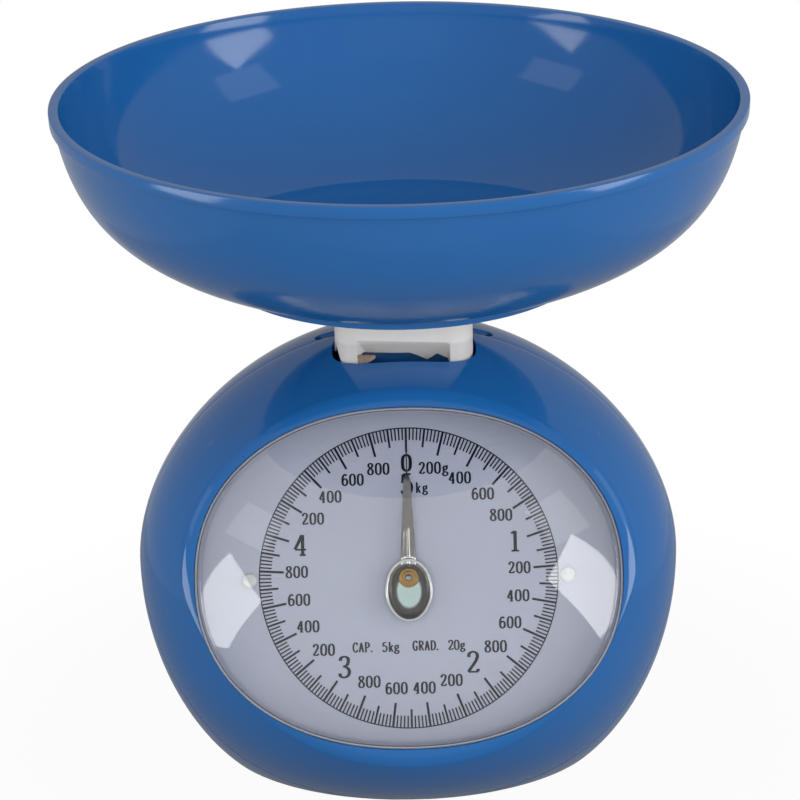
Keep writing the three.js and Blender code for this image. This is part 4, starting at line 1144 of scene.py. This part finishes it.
# Painted reflection: the handle is painted mid grey and the needle near black.
painted_handle_reflection = node(
    "Mix", {"Factor": chrome_needle, "A": linear("7C7874"), "B": linear("3A3836")}, data_type="RGBA",
)
chrome_painted_reflection = node(
    "Mix", {"Factor": chrome_handle, "A": painted_reflection_tone, "B": painted_handle_reflection}, data_type="RGBA",
)
press_ripple = node("TexNoise", {"Vector": chrome_place, "Scale": 260, "Detail": 2})
chrome_bump = node("Bump", {"Height": press_ripple, "Strength": 0.12, "Distance": 0.0003})
scratch_direction = node("Mapping", {
    "Vector": chrome_place, "Scale": (9000, 500, 500), "Rotation": (0, 0, 0.5),
})
chrome_scratches = node("TexNoise", {"Vector": scratch_direction, "Scale": 1, "Detail": 3})
chrome_gloss = node("MapRange", [chrome_scratches, 0.45, 0.8, 0.06, 0.16])
surface = node("BsdfPrincipled", {
    "Base Color": chrome_painted_reflection, "Metallic": 1.0, "Roughness": chrome_gloss, "Normal": chrome_bump,
})
node("OutputMaterial", {"Surface": surface})
finish(pointer, chromium, "pointer", "chrome", "pointer")

# ---------------------------------------------------------------- hub and shaft
# The spoon is riveted to a turned brass hub, pressed on a steel shaft with a domed end. Behind the
# dial the same shaft carries a ten-tooth brass pinion.
hub_bore = 1.15
hub_profile = [
    (hub_bore, 0.8), (3.0, 0.8), (3.0, 0.95), (2.2, 0.95), (2.2, 2.65), (3.2, 2.75), (3.3, 3.0),
    (3.1, 3.25), (2.3, 3.4), (2.1, 3.75), (1.7, 3.85), (hub_bore, 3.85),
]


def polar(radius, angle, height):
    """A point in metres, from a radius, an angle and a height in millimetres."""
    return Vector((radius * math.cos(angle), radius * math.sin(angle), height)) * mm


def tube(name, rings):
    """A closed tube through rings that run along its skin, the last one joined to the first."""
    piece = skin_rings(name, [*rings, rings[0]])
    edit(piece, "DESELECT")
    bm = bmesh.from_edit_mesh(piece.data)
    for face in bm.faces:
        face.select_set(len(face.verts) > 4)
    bmesh.update_edit_mesh(piece.data)
    bpy.ops.mesh.delete(type="ONLY_FACE")
    leave_edit_mode()
    face_outwards(piece)
    return piece


def turn_ring(name, profile, segments):
    """A turned piece with a hole through it, from its section's (radius, height) corners."""
    return tube(name, [
        [polar(radius, angle, height) for angle in turns(segments)] for radius, height in profile
    ])


hub = turn_ring("brass_hub", hub_profile, 64)
round_edges(hub, 0.08, 2, 30)
smooth(hub, 35)
place(hub, on_dial(0, 0))

# Turned brass, warm and a little dulled, with the tool's fine rings.
turned_brass = two_toned(
    "turned_brass", {"Scale": 420, "Detail": 3}, "B98F45", "8E6A30",
    {"Metallic": 1.0, "Roughness": 0.26}, (0.2, 0.00003), {"Scale": 5200, "Detail": 1},
)
finish(hub, turned_brass, "pointer", "brass", "pointer_hub")

shaft_profile = [
    (0.2, -17.6), (0.8, -17.6), (1.0, -17.4), (1.0, 4.35), (0.9, 4.6), (0.6, 4.78), (0.2, 4.85),
]
pointer_shaft = turn_on_lathe("steel_pointer_shaft", shaft_profile, 40)
smooth(pointer_shaft, 45)
place(pointer_shaft, on_dial(0, 0))

# Zinc plate on steel: a soft cool grey metal, mottled where the crystals of zinc catch the light.
zinc_steel, node, zinc_place = new_material("zinc_plated_steel")
zinc_crystals = node("TexVoronoi", {"Vector": zinc_place, "Scale": 380})
zinc_tone = node(
    "Mix", {"Factor": zinc_crystals, "A": linear("A9ADB1"), "B": linear("8F9499")}, data_type="RGBA",
)
zinc_clouds = node("TexNoise", {"Vector": zinc_place, "Scale": 120, "Detail": 3})
zinc_gloss = node("MapRange", [zinc_clouds, 0.3, 0.7, 0.26, 0.42])
zinc_bump = node("Bump", {"Height": zinc_crystals, "Strength": 0.08, "Distance": 0.00005})
surface = node("BsdfPrincipled", {
    "Base Color": zinc_tone, "Metallic": 1.0, "Roughness": zinc_gloss, "Normal": zinc_bump,
})
node("OutputMaterial", {"Surface": surface})
finish(pointer_shaft, zinc_steel, "pointer", "zinc_steel", "pointer_shaft")


def dress(cad_node, material, body, slot, edge):
    """A plain solid's own mesh, with its points merged, its edges eased and round faces shaded so."""
    leave_edit_mode()
    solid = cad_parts[cad_node]
    mesh = solid.data.copy()
    mesh.transform(solid.matrix_world)
    piece = linked(cad_node + "_made", mesh)
    face_outwards(piece)
    edit(piece)
    bpy.ops.mesh.dissolve_limited(angle_limit=math.radians(1))
    leave_edit_mode()
    if edge:
        round_edges(piece, edge, 2, 40)
    smooth(piece, 35)
    finish(piece, material, body, slot, cad_node)


dress("pinion", turned_brass, "pointer", "brass", 0)

# ---------------------------------------------------------------- neck
# A square post of the same blue ABS stands on the load carrier, open low at the front where its
# mould's core drew out, and holds the platform up under the bowl.
neck_width, neck_depth, neck_corner = 44.2, 17.4, 7
neck_wall = 2
neck_bottom = 120
platform_thickness = 3.6
neck_top = bowl_underside - seat_gap - platform_thickness - seat_gap
neck_cap = 3
platform_bore = 2.3
neck_window_half, neck_window_low, neck_window_high = 16, 128, 150.5

neck = skin_rings("neck_post", upright(
    rounded_rectangle(neck_width, neck_depth, neck_corner), neck_bottom, neck_top,
))
round_edges(neck, 0.5, 3, 50)
core_outline = rounded_rectangle(
    neck_width - 2 * neck_wall, neck_depth - 2 * neck_wall, neck_corner - neck_wall,
)
carve(neck, skin_rings("neck_core", upright(core_outline, neck_bottom - 5, neck_top - neck_cap)))
window_outline = [
    (-neck_window_half, -30), (neck_window_half, -30), (neck_window_half, 0), (-neck_window_half, 0),
]
carve(neck, skin_rings("neck_window", upright(window_outline, neck_window_low, neck_window_high)))
drill(neck, platform_bore, neck_top - 10, neck_top + 10, Matrix.Identity(4))
smooth(neck, 35)
finish(neck, blue_abs, "carrier", "blue_plastic", "neck")

# ---------------------------------------------------------------- neck sleeve
# A band of pale packing card is wrapped round the neck, and the platform holds it down. Its lower edge
# was creased and pressed in when it went into the housing, and it has torn at the front.
sleeve_gap, sleeve_sheet = 0.7, 0.55
sleeve_bottom = 144.5
sleeve_top = neck_top - 0.1
sleeve_step = 0.45
crease_height, crease_slope = 150.9, 0.042
fold_left, fold_right = -19.5, 16.3
fold_press = 0.75
card_play, card_bulge = 0.45, 0.10
torn_edge = [
    (-24, 150.4), (-22.9, 148.6), (-22.0, 145.6), (-21.0, 142.4), (-20.0, 141.9), (-15.8, 141.9),
    (-15.4, 145.0), (-14.0, 145.9), (-9.9, 145.6), (-3, 145.3), (1.8, 145.4), (4.5, 144.0),
    (7.8, 141.8), (9.6, 143.4), (11.2, 144.9), (12.4, 144.0), (14.8, 142.4), (24, 142.0),
]


def along_knots(knots, x):
    """The height at x of a broken line through (x, height) knots."""
    for (x0, z0), (x1, z1) in zip(knots, knots[1:]):
        if x <= x1:
            return z0 + (z1 - z0) * max(x - x0, 0) / (x1 - x0)
    return knots[-1][1]


def walked(outline, step):
    """A closed outline's points again, at nearly even steps."""
    points = []
    for i, start in enumerate(outline):
        a, b = Vector(start), Vector(outline[(i + 1) % len(outline)])
        pieces = max(round((b - a).length / step), 1)
        points += [tuple(a.lerp(b, j / pieces)) for j in range(pieces)]
    return points


def fold_height(x):
    """The crease across the front: it slopes down a little to the right."""
    return crease_height - crease_slope * x


def sleeve_point(x, y, share, front):
    """A point of the card in millimetres: share runs from its lower edge to its top."""
    ragged = 0.16 * noise.noise(Vector((x * 2.3, 0, 3)))
    low = sleeve_bottom + (along_knots(torn_edge, x) + ragged - sleeve_bottom) * front
    crease = max(fold_height(x), low + 0.2)
    z = low + (crease - low) * share * 2
    if share >= 0.5:
        z = crease + (sleeve_top - crease) * (share - 0.5) * 2
    below = max(fold_height(x) - z, 0) * front
    left = min(max((x - fold_left) / 5.5, 0), 1)
    right = min(max((fold_right - 0.8 - x) / 0.7, 0), 1)
    pressed = fold_press * below * left * left * (3 - 2 * left) * right
    pressed = min(pressed, card_play + max(x + neck_window_half - 0.2, 0) * 1.5)
    bulge = card_bulge * front * math.sin(math.pi * min(max((z - 151) / 24, 0), 1))
    return Vector((x, y + pressed - bulge, z)) * mm


def sleeve_rings(spread, shares):
    """The card's rings, spread from the neck's faces, from its lower edge to its top."""
    outline = walked(
        rounded_rectangle(neck_width + 2 * spread, neck_depth + 2 * spread, neck_corner + spread),
        sleeve_step,
    )
    flat_front = -neck_depth / 2 - spread
    rings = []
    for share in shares:
        rings.append([
            sleeve_point(x, y, share, min(max((flat_front + 9 - y) / 2.5, 0), 1)) for x, y in outline
        ])
    return rings


card_shares = [0, 0.12, 0.25, 0.37, 0.46, 0.5, 0.53, 0.6, 0.7, 0.8, 0.9, 1]
card_outside = sleeve_rings(sleeve_gap + sleeve_sheet, card_shares)
card_inside = sleeve_rings(sleeve_gap, card_shares)
sleeve = tube("card_sleeve", [*card_outside, *reversed(card_inside)])
smooth(sleeve, 24)

# Coated packing card: matt and slightly warm, with soft dents and a faint fibre grain. It is painted
# greyer below the crease, down to its lower edge: painted shade of the pressed-in flap.
packing_card, node, card_place = new_material("coated_packing_card")
card_height = node("SeparateXYZ", {"Vector": card_place})
card_clouds = node("TexNoise", {"Vector": card_place, "Scale": 130, "Detail": 4, "Roughness": 0.6})
# Painted shade: the card turns greyer below the crease, by height.
painted_fold_shade = node("MapRange", [card_height.outputs["Z"], 0.1505, 0.1492, 0.0, 0.55])
cloud_tone_and_fold_shade = node("Math", [card_clouds, 0.5, painted_fold_shade], operation="MULTIPLY_ADD")
card_tone = node(
    "Mix", {"Factor": cloud_tone_and_fold_shade, "A": linear("E2E0DC"), "B": linear("C2C0BE")}, data_type="RGBA",
)
card_fibres = node("TexNoise", {"Vector": card_place, "Scale": 1500, "Detail": 3, "Roughness": 0.6})
card_dents = node("Bump", {"Height": card_clouds, "Strength": 0.25, "Distance": 0.0012})
card_bump = node("Bump", {
    "Height": card_fibres, "Strength": 0.2, "Distance": 0.00005, "Normal": card_dents,
})
surface = node("BsdfPrincipled", {
    "Base Color": card_tone, "Roughness": 0.62, "IOR": 1.45, "Normal": card_bump,
})
node("OutputMaterial", {"Surface": surface})
finish(sleeve, packing_card, "carrier", "white_card", "neck_sleeve")

# The tear shows the card's brown pulp core as a curl under its coated face.
curl_left, curl_right = -15.7, -9.7
curl_rings = []
for i in range(25):
    share = i / 24
    x = curl_left + (curl_right - curl_left) * share
    top = 146.1 - 0.4 * share + 0.15 * noise.noise(Vector((x * 3, 1, 0)))
    low = 141.9 + 2.6 * share**1.3 + 0.5 * noise.noise(Vector((x * 2.4, 5, 0)))
    ring = []
    for j in range(9):
        z = low + (top - low) * j / 8
        fibres = 0.12 * noise.noise(Vector((x, z, 7)))
        curl = -9.45 + 0.9 * share + 0.35 * math.sin(3.1 * j / 8) + fibres
        ring.append((x, curl, z))
    front_side = [Vector(point) * mm for point in ring]
    back_side = [Vector((x, y + 0.3, z)) * mm for x, y, z in reversed(ring)]
    curl_rings.append(front_side + back_side)
card_core = skin_rings("card_core", curl_rings)
smooth(card_core, 60)
brown_pulp, node, pulp_place = new_material("brown_card_pulp")
pulp_fibres = node("Mapping", {"Vector": pulp_place, "Scale": (900, 900, 260), "Rotation": (0, 0.5, 0)})
pulp_streaks = node("TexNoise", {"Vector": pulp_fibres, "Scale": 1, "Detail": 4, "Roughness": 0.7})
pulp_tone = node(
    "Mix", {"Factor": pulp_streaks, "A": linear("5C4A40"), "B": linear("B09C8C")}, data_type="RGBA",
)
pulp_bump = node("Bump", {"Height": pulp_streaks, "Strength": 0.6, "Distance": 0.0002})
surface = node("BsdfPrincipled", {"Base Color": pulp_tone, "Roughness": 0.9, "Normal": pulp_bump})
node("OutputMaterial", {"Surface": surface})
finish(card_core, brown_pulp, "carrier", "white_card")

# ---------------------------------------------------------------- platform
# A disc of the same blue ABS on top of the neck, one screw through its middle. The bowl rests on the
# ring round its edge, and a shallow well inside that ring keeps the two from sticking.
platform_radius = 52
platform_low = neck_top + seat_gap
platform_high = bowl_underside - seat_gap
platform_well, platform_hub = 0.5, 14
screw_seat_radius, screw_seat_floor = 4.3, 175.8
platform_profile = [
    (platform_bore, platform_low), (platform_radius - 2, platform_low),
    (platform_radius, platform_low + 1.5), (platform_radius, platform_high - 0.6),
    (platform_radius - 0.6, platform_high), (platform_radius - 6, platform_high),
    (platform_radius - 6.6, platform_high - platform_well),
    (platform_hub + 0.6, platform_high - platform_well), (platform_hub, platform_high),
    (screw_seat_radius + 0.3, platform_high), (screw_seat_radius, platform_high - 0.3),
    (screw_seat_radius, screw_seat_floor), (platform_bore, screw_seat_floor),
]
platform = turn_ring("blue_platform", platform_profile, 160)
round_edges(platform, 0.15, 2, 30)
smooth(platform, 32)
finish(platform, blue_abs, "carrier", "blue_plastic", "platform")

# ---------------------------------------------------------------- screws
# Zinc-plated self-tapping screws with pan heads and cross slots. Four hold the movement to the floor,
# two the heel, two the shells, and a larger one the platform. Each size is cut once and copied.
screw_head, screw_head_height = 3, 2
screw_shank = 1.3
screw_lengths = {"base_screw": 4.6, "heel_screw": 10.3, "housing_screw": 15}
platform_screw_head, platform_screw_shank, platform_screw_length = 4, 2, 9.6
thread_pitch = 1.1
thread_depth = 0.28
slot_half_width, slot_half_length, slot_depth = 0.4, 1.9, 0.9


def cut_screw(name, head, shank, length):
    """A screw with its head's seat on the origin and its threaded shank up the Z axis."""
    pan = [
        (share * head, depth - screw_head_height)
        for share, depth in [(0.55, 0.04), (0.82, 0.28), (0.96, 0.75), (1, 1.2)]
    ]
    head_profile = [(0.3, -screw_head_height), *pan, (head, -0.1), (head - 0.12, 0), (0.3, 0)]
    piece = turn_on_lathe(name, head_profile, 48)
    for turn in (0, math.pi / 2):
        leave_edit_mode()
        bpy.ops.mesh.primitive_cube_add(size=1)
        slot = bpy.context.object
        slot.scale = (2 * slot_half_width * mm, 2 * slot_half_length * mm, 2 * slot_depth * mm)
        bpy.ops.object.transform_apply(scale=True)
        place(slot, moved(0, 0, -screw_head_height) @ Matrix.Rotation(turn, 4, "Z"))
        carve(piece, slot)
    rings = []
    steps = round((length + 0.3) / (thread_pitch / 6))
    for i in range(steps + 1):
        z = -0.3 + (length + 0.3) * i / steps
        point_taper = min(1, 0.35 + (length - z) / 2)
        ring = []
        for j, angle in enumerate(turns(16)):
            phase = (z / thread_pitch - j / 16) % 1
            ridge = 1 - abs(2 * phase - 1)
            ring.append(polar((shank - thread_depth + thread_depth * ridge) * point_taper, angle, z))
        rings.append(ring)
    carve(piece, skin_rings("shank", rings), "UNION")
    smooth(piece, 38)
    return piece


def repeated(first, count):
    """A piece whose name ends in 1, and copies of it that count on."""
    return [first] + [copy_of(first, first.name[:-1] + str(i)) for i in range(2, count + 1)]


screw_level = 2.7
base_spots = [
    moved(x, y, screw_level) @ Matrix.Rotation(0.4 + 1.1 * i, 4, "Z")
    for i, (x, y) in enumerate(base_screw_places)
]
heel_spots = [
    moved(side * heel_screw_x, heel_screw_y, screw_level) @ Matrix.Rotation(0.9 * side, 4, "Z")
    for side in (-1, 1)
]
housing_spots = [
    on_dial(side * housing_screw_x, housing_screw_y, housing_screw_seat - seat_gap)
    @ Matrix.Rotation(0.6 * side, 4, "Z")
    for side in (-1, 1)
]
for (kind, length), spots in zip(screw_lengths.items(), (base_spots, heel_spots, housing_spots)):
    screws = repeated(cut_screw(kind + "_made_1", screw_head, screw_shank, length), len(spots))
    for i, (screw, spot) in enumerate(zip(screws, spots), 1):
        place(screw, spot)
        finish(screw, zinc_steel, "housing", "zinc_steel", f"{kind}_{i}")

platform_screw = cut_screw(
    "platform_screw_made", platform_screw_head, platform_screw_shank, platform_screw_length,
)
place(platform_screw, moved(0, 0, screw_seat_floor + seat_gap) @ Matrix.Rotation(math.pi, 4, "X"))
finish(platform_screw, zinc_steel, "carrier", "zinc_steel", "platform_screw")

# ---------------------------------------------------------------- zero knob
# A fluted knob of the blue ABS on the back, pressed on its steel shaft. Its flutes are shallow and
# round, and its face is dished inside a plain rim.
knob_radius, knob_length = 12, 8
knob_flutes, flute_depth = 20, 0.5
knob_points = 200
knob_bore = 2.3
knob_levels = [  # share of the radius, and distance from the housing's boss
    (0.965, 0), (1, 0.35), (1, 5.9), (0.985, 6.8), (0.94, 7.6), (0.86, knob_length),
    (0.74, knob_length), (0.70, knob_length - 0.5), (0.35, knob_length - 0.9),
    (0.02, knob_length - 1.0),
]
knob_rings = []
for share, depth in knob_levels:
    flute = flute_depth * min(max((share - 0.86) / 0.1, 0), 1)
    middle = knob_radius * share - flute
    knob_rings.append([
        polar(middle + flute * math.cos(knob_flutes * angle), angle, depth)
        for angle in turns(knob_points)
    ])
knob = skin_rings("fluted_knob", knob_rings)
drill(knob, knob_bore, -5, knob_length - 2, Matrix.Identity(4))
round_edges(knob, 0.12, 2, 40)
smooth(knob, 32)
place(knob, facing_back @ moved(0, 0, boss_face + seat_gap))
finish(knob, blue_abs, "zero_setting", "blue_plastic", "zero_knob")

# ---------------------------------------------------------------- feet
# Four moulded rubber pads stuck in shallow recesses under the floor, each with a ring groove that
# grips the table.
pad_radius, pad_height = 6.5, 2.2
pad_profile = [
    (0.4, 0.35), (2.4, 0.35), (2.9, 0), (pad_radius - 0.9, 0), (pad_radius - 0.25, 0.3),
    (pad_radius, 0.9), (pad_radius, pad_height - 0.1), (pad_radius - 0.1, pad_height),
    (0.4, pad_height),
]
pad = turn_on_lathe("rubber_foot_made_1", pad_profile, 64)
round_edges(pad, 0.12, 2, 25)
smooth(pad, 35)

# Moulded rubber, matt and black, with a grey bloom on its skin.
black_rubber = two_toned(
    "moulded_black_rubber", {"Scale": 210, "Detail": 4, "Roughness": 0.65}, "17171A", "36373B",
    {"Roughness": 0.82, "IOR": 1.52}, (0.3, 0.00006), {"Scale": 3000, "Detail": 2},
)
for i, (foot, (x, y)) in enumerate(zip(repeated(pad, 4), foot_places), 1):
    place(foot, moved(x, y))
    finish(foot, black_rubber, "housing", "black_rubber", f"foot_{i}")

# ---------------------------------------------------------------- movement
# Steel sheet, bent and pierced, with its edges eased by tumbling: base plate, frame, brackets, levers,
# hanger and the carrier that the neck stands on. A brass rack hangs on the carrier's arm.
sheet_edge, rack_edge = 0.12, 0.04
for cad_node, body in [
    ("base_plate", "housing"), ("mechanism_frame", "housing"), ("dial_bracket", "housing"),
    ("pinion_bridge", "housing"), ("load_carrier", "carrier"), ("lower_lever", "lower_lever"),
    ("upper_lever", "upper_lever"), ("spring_hanger", "hanger"), ("zero_shaft", "zero_setting"),
]:
    dress(cad_node, zinc_steel, body, "zinc_steel", sheet_edge)
dress("rack", turned_brass, "carrier", "brass", rack_edge)

# ---------------------------------------------------------------- pins
# Five plain steel pins with rounded ends carry the levers and the rack, and are a running fit in
# their holes.
lever_pin_radius, rack_pin_radius = 1.5, 0.8
for cad_node, radius, body in [
    ("lower_frame_pin", lever_pin_radius, "housing"), ("upper_frame_pin", lever_pin_radius, "housing"),
    ("lower_carrier_pin", lever_pin_radius, "carrier"),
    ("upper_carrier_pin", lever_pin_radius, "carrier"), ("rack_pin", rack_pin_radius, "carrier"),
]:
    low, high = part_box(cad_node)
    length = (high[0] - low[0]) / mm
    rounded_ends = [
        (0.2, 0), (radius * 0.7, 0.12), (radius, 0.5), (radius, length - 0.5),
        (radius * 0.7, length - 0.12), (0.2, length),
    ]
    cross_pin = turn_on_lathe(cad_node + "_made", rounded_ends, 40)
    smooth(cross_pin, 45)
    left_end = Vector((low[0], (low[1] + high[1]) / 2, (low[2] + high[2]) / 2))
    place(cross_pin, Matrix.Translation(left_end) @ Matrix.Rotation(math.pi / 2, 4, "Y"))
    finish(cross_pin, zinc_steel, body, "zinc_steel", cad_node)

# ---------------------------------------------------------------- springs
# Two extension springs of plated wire hang under the hanger's bar and hold up the carrier's foot.
# Each end of the wire is drawn in to the spring's axis.
spring_radius, spring_wire = 5, 1.4
spring_turns = 11
spring_steps, wire_points = 28, 12
spring_low, spring_high = 41.8, 99.6
spring_x, spring_y = 12, 8

coils = spring_turns * spring_steps
for side_name, x in [("left", -spring_x), ("right", spring_x)]:
    rings = []
    for i in range(coils + 1):
        t = i / coils
        angle = 2 * math.pi * spring_turns * t
        radius = spring_radius * min(1, 0.15 + min(t, 1 - t) * 14)
        z = spring_low + spring_wire / 2 + (spring_high - spring_low - spring_wire) * t
        outward = Vector((math.cos(angle), math.sin(angle), 0))
        middle = Vector((x, spring_y, z)) + outward * radius
        around_wire = [
            outward * math.cos(turn) + Vector((0, 0, 1)) * math.sin(turn) for turn in turns(wire_points)
        ]
        rings.append([(middle + offset * spring_wire / 2) * mm for offset in around_wire])
    spring = skin_rings(side_name + "_spring_made", rings)
    smooth(spring, 50)
    spring.data.materials.append(zinc_steel)
    top = Vector((x, spring_y, spring_high)) * mm
    foot = Vector((x, spring_y, spring_low)) * mm
    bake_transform(spring)
    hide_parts("spring_" + side_name)
